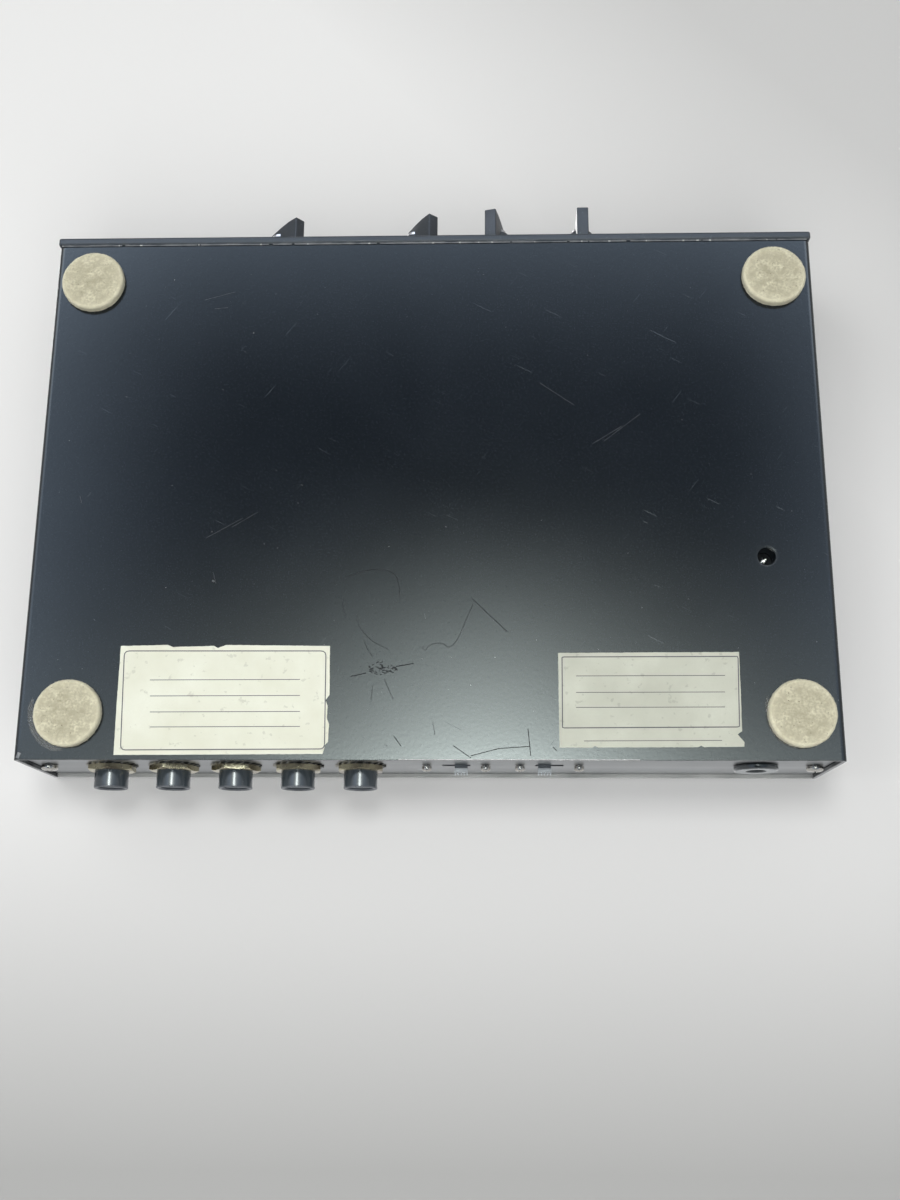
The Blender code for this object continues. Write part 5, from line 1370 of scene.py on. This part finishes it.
# %% Paper labels
PAPER = 0.00007
GLUE = 0.00002
RAGGED_STEP = 0.0008
RAGGED_DEPTH = 0.00008
WHITE_LABEL = (
    (121, 646), (168, 645), (173, 647), (214, 646), (218, 648), (226, 645), (330, 646),
    (329.5, 695), (325.5, 700), (327.5, 706), (327, 719), (329, 724), (328, 742), (325, 745), (322.5, 754),
    (113.5, 755), (117, 700),
)
GREY_LABEL = (
    (558, 653), (739, 652), (741, 700), (742, 731), (737.6, 734.3), (744.5, 742.2), (744.5, 746.8),
    (704, 747.2), (701.3, 745.6), (698, 747.3), (598, 747.6), (595, 746.3), (592, 747.8), (559.5, 747.5),
)
WHITE_FRAME = ((124.5, 651), (326, 651), (324.5, 749), (120.5, 750))
GREY_FRAME = ((562, 657), (738, 656.5), (739.5, 727), (562.5, 728))


def paper_sheet(outline, finish, name, slot):
    """A sheet with the outline, just off the underside, with ragged edges."""
    spots = [on_underside(*point) for point in outline]
    ragged = []
    for first, second in zip(spots, spots[1:] + spots[:1]):
        steps = max(1, int((second - first).length / RAGGED_STEP))
        for step in range(steps):
            spot = first.lerp(second, step / steps)
            rough = RAGGED_DEPTH * noise.noise(spot * 900)
            ragged.append(spot + Vector((rough, rough, 0)))
    shape = bmesh.new()
    face = shape.faces.new([shape.verts.new((spot.x, spot.y, UNDERSIDE - GLUE)) for spot in ragged])
    sheet = bmesh.ops.extrude_face_region(shape, geom=[face])["geom"]
    outer = [item for item in sheet if isinstance(item, bmesh.types.BMVert)]
    bmesh.ops.translate(shape, vec=(0, 0, -PAPER), verts=outer)
    bmesh.ops.recalc_face_normals(shape, faces=shape.faces)
    seat(piece(name, shape, finish), "case", slot)


paper_sheet(WHITE_LABEL, white_paper, "white_label", "ivory_plastic")
paper_sheet(GREY_LABEL, grey_paper, "grey_label", "ivory_plastic")

# %% [markdown]
# ## Lines that follow a path
# Ruled lines and scratches are both a thin stroke along a path. A tree turns joined points into
# a curve, smooths it, thins its ends and sweeps a small round section along it, pressed flat.
# One tree serves for straight rules and for curly scratches: only its inputs differ.

# %% The stroke tree
stroke_tree, given, result = new_tree("Stroke", {
    "Width": "Float", "Step": "Float", "Taper": "Float", "Flatness": "Vector", "Height": "Vector",
    "Finish": "Material",
})
curve = wire(stroke_tree, "GeometryNodeMeshToCurve", {"Mesh": given["Geometry"]}).outputs[0]
inputs = {"Curve": curve, "Length": given["Step"]}
even = wire(stroke_tree, "GeometryNodeResampleCurve", inputs, mode="LENGTH").outputs[0]
along = wire(stroke_tree, "GeometryNodeSplineParameter").outputs["Factor"]
from_middle = math_node(stroke_tree, "ABSOLUTE", math_node(stroke_tree, "SUBTRACT", along, 0.5))
narrowing = times(stroke_tree, times(stroke_tree, from_middle, 2.0), given["Taper"])
width = math_node(stroke_tree, "SUBTRACT", 1.0, narrowing)
thinned = wire(stroke_tree, "GeometryNodeSetCurveRadius", {"Curve": even, "Radius": width}).outputs[0]
inputs = {"Resolution": 6, "Radius": given["Width"]}
round_section = wire(stroke_tree, "GeometryNodeCurvePrimitiveCircle", inputs)
swept = wire(
    stroke_tree, "GeometryNodeCurveToMesh",
    {"Curve": thinned, "Profile Curve": round_section.outputs[0], "Fill Caps": True},
).outputs[0]
pressed = wire(
    stroke_tree, "GeometryNodeTransform",
    {"Geometry": swept, "Scale": given["Flatness"], "Translation": given["Height"]},
).outputs[0]
close_tree(stroke_tree, pressed, given, result)


def smooth_path(points, steps=6):
    """Extra points on a Catmull-Rom curve through the given ones."""
    ends = [points[0]] + list(points) + [points[-1]]
    path = []
    for four in zip(ends, ends[1:], ends[2:], ends[3:]):
        for step in range(steps):
            t = step / steps
            spot = []
            for a, b, c, d in zip(*four):
                bent = (2 * a - 5 * b + 4 * c - d) * t * t + (3 * b - a - 3 * c + d) * t ** 3
                spot.append(0.5 * (2 * b + (c - a) * t + bent))
            path.append(tuple(spot))
    return path + [points[-1]]


ON_PAINT = UNDERSIDE - 0.00001


def drawn(name, places, edges, finish, slot, width, taper, height, flat=0.5, step=0.0004):
    """One piece from the stroke tree, on the case. A flat of 1 would leave its section round."""
    made = grown(name, marks(places, None, edges), stroke_tree, {
        "Width": width / 2, "Step": step, "Taper": taper, "Flatness": (1, 1, flat),
        "Height": (0, 0, height), "Finish": finish,
    })
    seat(made, "case", slot)


def strokes(name, paths, finish, width, taper, slot="case_paint", height=ON_PAINT):
    """Flat strokes on the underside along paths given in pixels of the picture."""
    places, edges = [], []
    for path in paths:
        start = len(places)
        spots = [on_underside(*point) for point in path]
        places += [(spot.x, spot.y, 0) for spot in spots]
        edges += [(start + step, start + step + 1) for step in range(len(path) - 1)]
    drawn(name, places, edges, finish, slot, width, taper, height, 0.12, 0.0008)


# %% Ruled lines on the labels
WHITE_FRAME_ROUND = 4.8
GREY_FRAME_ROUND = 0.32
PAPER_FACE = UNDERSIDE - GLUE - PAPER


def rounded_frame(points, rounding, steps=5):
    """A closed frame whose corners are rounded, starting that many pixels before each."""
    path = []
    for number in range(len(points)):
        before, here, after = (Vector(points[(number + shift) % len(points)]) for shift in (-1, 0, 1))
        first = here + (before - here).normalized() * rounding
        last = here + (after - here).normalized() * rounding
        for step in range(steps + 1):
            t = step / steps
            path.append(tuple((1 - t) ** 2 * first + 2 * t * (1 - t) * here + t * t * last))
    return path + [path[0]]


rules = [((150, row), (300, row - 0.5)) for row in (712, 727, 696, 680)]
rules += [((576, row), (725, row - 0.5)) for row in (692.5, 707.5, 676)] + [((584, 741), (722, 740.5))]
frames = [rounded_frame(WHITE_FRAME, WHITE_FRAME_ROUND), rounded_frame(GREY_FRAME, GREY_FRAME_ROUND)]
strokes("label_rules", rules, ink, 0.00022, 0, "rubber", PAPER_FACE)
strokes("label_frames", frames, ink, 0.00034, 0, "rubber", PAPER_FACE)

# %% [markdown]
# ## Scratches and chips
# Years of sliding over tables have left a ring, curls and straight cuts in the paint. They are
# strokes too. Where the paint mirrors the light a cut looks dark, and where the paint looks
# dark a cut looks pale, so there are two finishes of the same stroke.

# %% Scratches
cut_dark = hard_finish("cut_dark", (0.012, 0.012, 0.013), (0.030, 0.030, 0.031), 0.003, (0.6, 0.8))
cut_pale = hard_finish("cut_pale", (0.09, 0.09, 0.09), (0.26, 0.26, 0.26), 0.002, (0.5, 0.7))
DARK_CUTS = (
    ((344.7, 579), (357, 573), (374, 569.5), (388, 571), (396, 576), (399, 586), (399.7, 598)),
    ((342.5, 596.7), (343, 607), (345.4, 617)),
    ((356.4, 614.3), (359.3, 626), (366, 635), (374, 642), (388.7, 649.5)),
    ((363.7, 639), (367, 648), (372.5, 656.8)),
    ((421.7, 646.5), (425.3, 650.2), (431.2, 644.3), (443, 643.6), (448.8, 647.3), (457.6, 639.2),
     (466.4, 618.7), (473, 604)),
    ((372.5, 686.2), (371, 700.8)),
    ((384.3, 678.8), (393, 699.4)),
    ((385, 744), (387.2, 746.6)),
    ((432.7, 721.4), (434.9, 734.6)),
)
STRAIGHT_CUTS = (
    ((471.6, 598.1), (507.5, 631.9)),
    ((393.8, 736), (401.1, 746.3)),
    ((453.2, 745.6), (470.8, 758)),
    ((470.8, 755.8), (499, 748.5), (530.2, 746.3)),
    ((528, 728.7), (530.7, 755.8)),
    ((553, 747), (556.6, 750.7)),
)
PALE_CUTS = (
    ((424.6, 613.5), (425.3, 618.7)),
    ((213, 572), (216, 583.5)),
    ((232, 527), (258, 512)),
    ((206, 538), (243, 518)),
    ((215, 309), (228, 307.5)),
    ((205, 300), (235, 292)),
    ((592, 444), (622, 426)),
    ((604, 441), (640, 414)),
    ((540, 383), (574, 405)),
    ((80, 496), (81.5, 503)),
)
strokes("dark_scratches", [smooth_path(path) for path in DARK_CUTS], cut_dark, 0.00016, 0.8)
strokes("straight_cuts", STRAIGHT_CUTS, cut_dark, 0.00024, 0.8)
strokes("pale_scratches", PALE_CUTS, cut_pale, 0.00007, 0.9)

# %% The smudge of small cuts, and one chip
SMUDGE_CENTRE = (380.5, 669)
SMUDGE_REACH = 8.5
SMUDGE_STRETCH = (1.7, 0.75)
SMUDGE_CUTS = 46
LONG_CUTS = [((396, 666.5), (413.6, 663.4)), ((350.5, 676.6), (366, 673))]
CHIP = ((212.2, 580.5), (214.6, 581.6))
smudge_draw = random.Random(11)
smudge = []
for number in range(SMUDGE_CUTS):
    angle = smudge_draw.uniform(0, 2 * math.pi)
    reach = SMUDGE_REACH * smudge_draw.random() ** 0.8
    column = SMUDGE_CENTRE[0] + SMUDGE_STRETCH[0] * reach * math.cos(angle)
    row = SMUDGE_CENTRE[1] + SMUDGE_STRETCH[1] * reach * math.sin(angle)
    lean = smudge_draw.uniform(-0.6, 0.6)
    size = smudge_draw.uniform(1.0, 4.0)
    smudge.append(((column, row), (column + size * math.cos(lean), row + size * math.sin(lean))))
strokes("smudge_cuts", smudge + LONG_CUTS, cut_dark, 0.00030, 0.5)
strokes("chip", [CHIP], cut_pale, 0.0006, 0.2, height=UNDERSIDE - 0.00002)

# %% [markdown]
# ## Wear and painted highlights along the seams
# Where the front panel meets the underside the paint has rubbed through to a pale line with
# brighter chips; the pale line is partly painted light too, for the lit step of the panel and
# its shaded gap, which it covers. It is drawn with the same stroke tree, in short pieces whose
# gaps and lengths are drawn at random from a fixed seed. The rear edge has one bright line in
# its middle, a painted highlight where the rounded edge would mirror the sheen, and the rear
# left corner is rubbed.

# %% Seam wear
SEAM_MARGIN = 0.001
# Columns between which the rear edge gets its painted highlight.
HIGHLIGHT_COLUMNS = (398, 640)
EDGE_ROW = 758
WORN_CORNER = ((17, 758.3), (19.5, 752.5))
seam_low, seam_high = corners("bottom_cover")
seam_draw = random.Random(5)
panel_back = (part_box("front_panel")[1][1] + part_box("bottom_cover")[0][1]) / 2
panel_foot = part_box("front_panel")[0][2]


def seam_line(name, finish, width, reach, gap):
    """A broken line along the seam, from ranges for the length of a piece and of a gap."""
    places = []
    spot, last = seam_low.x + SEAM_MARGIN, seam_high.x - SEAM_MARGIN
    while spot < last:
        size = seam_draw.uniform(*reach)
        places += [(spot, panel_back, 0), (min(spot + size, last), panel_back, 0)]
        spot += size + seam_draw.uniform(*gap)
    edges = [(number, number + 1) for number in range(0, len(places), 2)]
    drawn(name, places, edges, finish, "case_paint", width, 0.4, panel_foot + 0.0002)


# These two finishes serve real wear and chips, and also the painted light of the seam line and the rear
# edge.
worn_and_lit_grey = hard_finish("worn_and_lit_grey", (0.10, 0.11, 0.12), (0.30, 0.31, 0.32), 0.004, (0.4, 0.6))
chip_and_highlight_white = hard_finish("chip_and_highlight_white", (0.50, 0.50, 0.49), (0.80, 0.80, 0.78), 0.001, (0.4, 0.6))
# The pale seam line: wear, and painted light for the panel's lit step and its shaded gap.
seam_line("seam_rub", worn_and_lit_grey, 0.00042, (0.006, 0.030), (0.0002, 0.0015))
seam_line("seam_chips", chip_and_highlight_white, 0.00050, (0.0002, 0.0009), (0.003, 0.022))
# A painted highlight along the middle of the rear edge, where its bend would mirror the sheen.
edge_highlight = [(on_underside(column, EDGE_ROW)[0], seam_high.y - 0.0002, 0) for column in HIGHLIGHT_COLUMNS]
drawn("edge_shine", edge_highlight, [(0, 1)], chip_and_highlight_white, "case_paint", 0.00032, 0.5, ON_PAINT)
strokes("corner_wear", [WORN_CORNER], worn_and_lit_grey, 0.0012, 0.6)

# %% [markdown]
# ## Old glue round two feet
# The rear feet have slipped a little, and a clear film of glue shows beside each. A film is a
# thin crescent sheet on the paint, cut like the labels.

# %% Glue film
GLUE_OUTLINES = (
    ((33, 697), (28.5, 706), (27.7, 714), (30, 729), (36, 740), (43.5, 747), (52, 750.5), (62, 750),
     (58, 744), (48, 741), (40, 733), (35, 722), (33.5, 709)),
    ((767.5, 694), (765.3, 704), (766, 716), (769.5, 728), (776.5, 738), (786, 745), (797, 748.5),
     (800, 745), (789, 742), (779, 734), (773, 724), (770, 709)),
)
for number, outline in enumerate(GLUE_OUTLINES, 1):
    paper_sheet(smooth_path(outline, 4)[:-1], glue_film, f"glue_film_{number}", "gloss_black")

# %% [markdown]
# ## The tape path under the lid
# With the lid open the tape can be seen: it leaves the cartridge, passes three heads and the
# capstan, and goes back in. The loose strand is a ribbon standing on edge, swept along its
# path by hand in bmesh, because a flat upright section is simpler to build than to orient.

# %% Tape strand
TAPE_HEIGHT = 0.0062
TAPE_HALF_THICK = 0.00003
INTO_CARTRIDGE = (0.006, 0.004)
CAPSTAN_SIDE = (0.004, 0.0019)
heads_low, heads_high = corners("head_block")
cartridge_low, cartridge_high = corners("tape_cartridge")
capstan = middle("flywheel")
left, right = cartridge_low.x + INTO_CARTRIDGE[0], cartridge_high.x - INTO_CARTRIDGE[0]
tape_y = heads_high.y + 0.0004
tape_low = cartridge_low.z + 0.0055 - TAPE_HEIGHT / 2
tape_high = tape_low + TAPE_HEIGHT
tape_path = smooth_path([
    (left, cartridge_low.y + INTO_CARTRIDGE[1]), (left, tape_y + 0.0015),
    (heads_low.x, tape_y), (heads_high.x, tape_y),
    (capstan.x - CAPSTAN_SIDE[0], capstan.y - CAPSTAN_SIDE[1]),
    (capstan.x + CAPSTAN_SIDE[0], capstan.y - CAPSTAN_SIDE[1]),
    (right, tape_y + 0.0015), (right, cartridge_low.y + INTO_CARTRIDGE[1]),
], 4)


def tape_section(number):
    """The ribbon's upright section at a point of the path, square to the way that it runs."""
    x, y = tape_path[number]
    before = Vector(tape_path[max(0, number - 1)])
    heading = (Vector(tape_path[min(len(tape_path) - 1, number + 1)]) - before).normalized()
    side = Vector((-heading.y, heading.x)) * TAPE_HALF_THICK
    ways = ((1, tape_low), (1, tape_high), (-1, tape_high), (-1, tape_low))
    return [(x + sign * side.x, y + sign * side.y, height) for sign, height in ways]


seat(piece("tape_strand", stroked(tape_path, tape_section), tape_brown, 60), "case", "tape_brown")

# %% [markdown]
# ## Floor, table and background
# In the picture the unit lies on its top, so the pale sheet behind it is above it in the
# frame, and other views look down on a floor below it. Both sheets are kept, and each is clear
# from behind, so neither hides the unit. They are seen by the camera only, so lamps above and
# below reach the unit past them, and both still show its shadow. Far out they fade into the
# surround, so no edge or horizon shows. The table has painted shade, darker to the rear and to
# one corner, and the floor has a painted shadow under the unit, where little light would reach it.

# %% Stage
SHEET_REACH = 3.0
TABLE_HEIGHT = CAD_BOX[1][2] + 0.0002
FADE = (0.45, 1.3)
SHADE_TO_THE_REAR = (0.098, 0.222)
SHADE_TO_THE_CORNER = (0.11, 0.22)
SHADE_SLANT = 0.7
SHADOW_EDGE = (-0.001, -0.008)


def outside(tree, across, half):
    """How far a place is outside the unit's footprint, measured along one axis."""
    return math_node(tree, "SUBTRACT", math_node(tree, "ABSOLUTE", across), half)


def one_sided_finish(name, colour, far=None, under=None):
    """Matt and pale in front, clear from behind and far out; far paints shade, under paints a shadow."""
    made, tree, shader = new_finish(name, colour, 0.9)
    set_plain(shader, {"Specular IOR Level": 0.2})
    tone = tint(tree, grain(tree, 0.35), colour, [0.97 * value for value in colour])
    place = wire(tree, "ShaderNodeSeparateXYZ", {0: object_place(tree)}).outputs
    # Painted shadow: the floor turns dark under the unit, fading out just past its footprint.
    if under:
        past = [outside(tree, place["X"], CAD_BOX[1][0]), outside(tree, place["Y"], REAR_FACE)]
        past = math_node(tree, "MAXIMUM", *past)
        tone = tint(tree, ramp(tree, past, *SHADOW_EDGE), tone, under)
    # Painted shade: the table turns darker to the rear and towards one corner.
    if far:
        tone = tint(tree, ramp(tree, place["Y"], *SHADE_TO_THE_REAR), tone, far)
        shade_slant = times(tree, math_node(tree, "SUBTRACT", place["X"], place["Y"]), SHADE_SLANT)
        tone = tint(tree, ramp(tree, shade_slant, *SHADE_TO_THE_CORNER, 0.0, 0.5), tone, far)
    link_surface(tree, shader, tone)
    behind = wire(tree, "ShaderNodeNewGeometry").outputs["Backfacing"]
    reach = wire(tree, "ShaderNodeVectorMath", {0: object_place(tree)}, operation="LENGTH").outputs["Value"]
    hidden = math_node(tree, "MAXIMUM", behind, sweep(tree, reach, *FADE))
    clear = wire(tree, "ShaderNodeBsdfTransparent").outputs[0]
    mixed = wire(tree, "ShaderNodeMixShader", {0: hidden, 1: shader.outputs[0], 2: clear}).outputs[0]
    tree.links.new(mixed, tree.nodes["Material Output"].inputs["Surface"])
    return made


def stage_sheet(name, height, facing, finish):
    shape = bmesh.new()
    bmesh.ops.create_grid(shape, size=SHEET_REACH, x_segments=1, y_segments=1)
    sheet = piece(name, moved(shape, at((0, 0, height), facing)), finish)
    for ray in ("diffuse", "glossy", "transmission", "shadow"):
        setattr(sheet, f"visible_{ray}", False)
    print(name, "at", round(1000 * height, 1), "mm")


# The floor's under tone is a painted shadow beneath the unit; the table's far tone is painted shade.
floor_paper = one_sided_finish("floor_paper", (0.80, 0.80, 0.79), under=(0.12, 0.12, 0.12))
table_paper = one_sided_finish("table_paper", (0.87, 0.868, 0.855), far=(0.44, 0.44, 0.43))
stage_sheet("floor_sheet", 0, UP, floor_paper)
stage_sheet("table_sheet", TABLE_HEIGHT, DOWNWARD, table_paper)

# %% [markdown]
# ## Light
# The room is plain: a soft pale surround, and lamps below for the picture and above for other
# views. What the shiny paint mirrors matters most in the picture: it is dark in the middle,
# paler towards the edges, and at the rear it shows the long sheen of a window. A lamp would
# give that sheen a hard outline, so the surround itself is graded, as seen by mirrored rays
# only. A direction is measured as its slope across and along, for every step down. Each
# graded part has the slope where it starts, the slope where it is full, and its level.
# Directions that the flat underside can't send to the camera are graded apart, because only
# the round barrels and lips mirror them.

# %% World
SURROUND = (0.80, 0.81, 0.82)
WORLD_LIGHT = 0.46
DIM_TONE = (0.72, 0.86, 1.10)
SHEEN_TONE = (0.93, 1.0, 0.98)
DIM_LEVEL = 0.03
FRONT = (-0.43, -0.66, 3.4)
LEFT = (-0.20, -0.42, 2.9)
RIGHT = (0.17, 0.30, 1.5)
SHEEN = (-0.356, -0.10, 18.0, 1.8)
SHEEN_END = (0.12, 0.0)
SHEEN_HALF_WIDTH = 0.10
SIDE_LEVEL = 0.70
ABOVE_LEVEL = 0.85
PAST_FLAT = (-0.140, -0.132)
PAST_FLAT_SIDES = 0.2
PAST_FLAT_SHEEN = 0.7


def glow(tree, value, first, last, level, power=2.0):
    """A glow that starts at first and reaches its level at last, ever faster."""
    return times(tree, math_node(tree, "POWER", ramp(tree, value, first, last), power), level)


def mirrored_levels(tree, direction):
    """The dim part and the sheen that mirrored rays see below the unit."""
    parts = wire(tree, "ShaderNodeSeparateXYZ", {0: direction}).outputs
    down = math_node(tree, "MAXIMUM", times(tree, parts["Z"], -1.0), 0.05)
    across = math_node(tree, "DIVIDE", parts["X"], down)
    along = math_node(tree, "DIVIDE", parts["Y"], down)
    past_flat = sweep(tree, parts["Y"], *PAST_FLAT)
    dim = plus(tree, glow(tree, along, *FRONT), DIM_LEVEL)
    sides = plus(tree, glow(tree, across, *LEFT), glow(tree, across, *RIGHT))
    dim = plus(tree, dim, times(tree, sides, ramp(tree, past_flat, 0.0, 1.0, 1.0, PAST_FLAT_SIDES)))
    dim = times(tree, dim, sweep(tree, parts["Z"], -0.45, -0.75))
    dim = plus(tree, dim, sweep(tree, parts["Z"], -0.75, -0.45, 0.0, SIDE_LEVEL))
    dim = plus(tree, dim, sweep(tree, parts["Z"], 0.5, 0.92, 0.0, ABOVE_LEVEL - SIDE_LEVEL))
    off = math_node(tree, "DIVIDE", across, SHEEN_HALF_WIDTH)
    sheen = math_node(tree, "DIVIDE", glow(tree, along, *SHEEN), plus(tree, times(tree, off, off), 1.0))
    sheen = times(tree, sheen, sweep(tree, along, *SHEEN_END))
    sheen = times(tree, sheen, plus(tree, times(tree, past_flat, PAST_FLAT_SHEEN), 1.0))
    return dim, times(tree, sheen, sweep(tree, parts["Z"], -0.3, -0.6))


def make_world():
    world = bpy.data.worlds.new("surround")
    bpy.context.scene.world = world
    world.use_nodes = True
    tree = world.node_tree
    tree.nodes.clear()
    direction = wire(tree, "ShaderNodeTexCoord").outputs["Generated"]
    dim, sheen = mirrored_levels(tree, direction)
    height = wire(tree, "ShaderNodeSeparateXYZ", {0: direction}).outputs["Z"]
    tone = tint(tree, sweep(tree, height, -0.85, -0.5), DIM_TONE, SURROUND)
    dim = wire(tree, "ShaderNodeBackground", {"Color": tone, "Strength": dim}).outputs[0]
    sheen = wire(tree, "ShaderNodeBackground", {"Color": (*SHEEN_TONE, 1), "Strength": sheen}).outputs[0]
    mirrored = wire(tree, "ShaderNodeAddShader", {0: dim, 1: sheen}).outputs[0]
    plain_tone = (*SURROUND, 1)
    light = wire(tree, "ShaderNodeBackground", {"Color": plain_tone, "Strength": WORLD_LIGHT}).outputs[0]
    seen = wire(tree, "ShaderNodeBackground", {"Color": plain_tone, "Strength": 1.0}).outputs[0]
    path = wire(tree, "ShaderNodeLightPath").outputs
    plain = math_node(tree, "MAXIMUM", path["Is Camera Ray"], path["Is Transmission Ray"])
    mixed = wire(tree, "ShaderNodeMixShader", {0: path["Is Glossy Ray"], 1: light, 2: mirrored}).outputs[0]
    mixed = wire(tree, "ShaderNodeMixShader", {0: plain, 1: mixed, 2: seen}).outputs[0]
    wire(tree, "ShaderNodeOutputWorld", {"Surface": mixed})
    print("the surround has", len(tree.nodes), "nodes")


make_world()

# %% Lamps
def area_lamp(name, place, aim, size, power, glossy=False):
    """A soft lamp whose first side runs level, along X as far as its aim allows."""
    lamp = bpy.data.lights.new(name, "AREA")
    lamp.shape = "RECTANGLE"
    lamp.size, lamp.size_y = size
    lamp.energy = power
    holder = placed(name, lamp)
    holder.location = place
    back = (Vector(place) - Vector(aim)).normalized()
    across = (Vector((1, 0, 0)) - back * back.x).normalized()
    holder.rotation_euler = Matrix((across, back.cross(across), back)).transposed().to_euler()
    holder.visible_camera = False
    holder.visible_glossy = glossy
    print(name, "at", [round(value, 2) for value in place])


UNIT_MIDDLE = (0, 0, 0.02)
area_lamp("front_below", (0.0, -0.12, -0.95), (0, 0, 0), (0.24, 0.24), 2.3)
area_lamp("left_below", (-0.82, -0.3, -0.95), (0, 0, 0), (0.75, 1.2), 5.0)
area_lamp("rear_below", (0.1, 0.75, -0.75), (0, 0.1, 0), (0.8, 0.8), 4.6)
area_lamp("key_above", (-0.55, -0.85, 1.15), UNIT_MIDDLE, (0.8, 0.8), 13.0, glossy=True)
area_lamp("fill_above", (0.9, 0.55, 0.9), UNIT_MIDDLE, (1.0, 1.0), 6.0)
area_lamp("rear_above", (-0.6, 1.0, 0.7), UNIT_MIDDLE, (0.9, 0.6), 5.0)

# %% [markdown]
# ## Finish
# The view transform is the plain one, so a colour renders as it is written.

bpy.context.scene.view_settings.view_transform = "Standard"
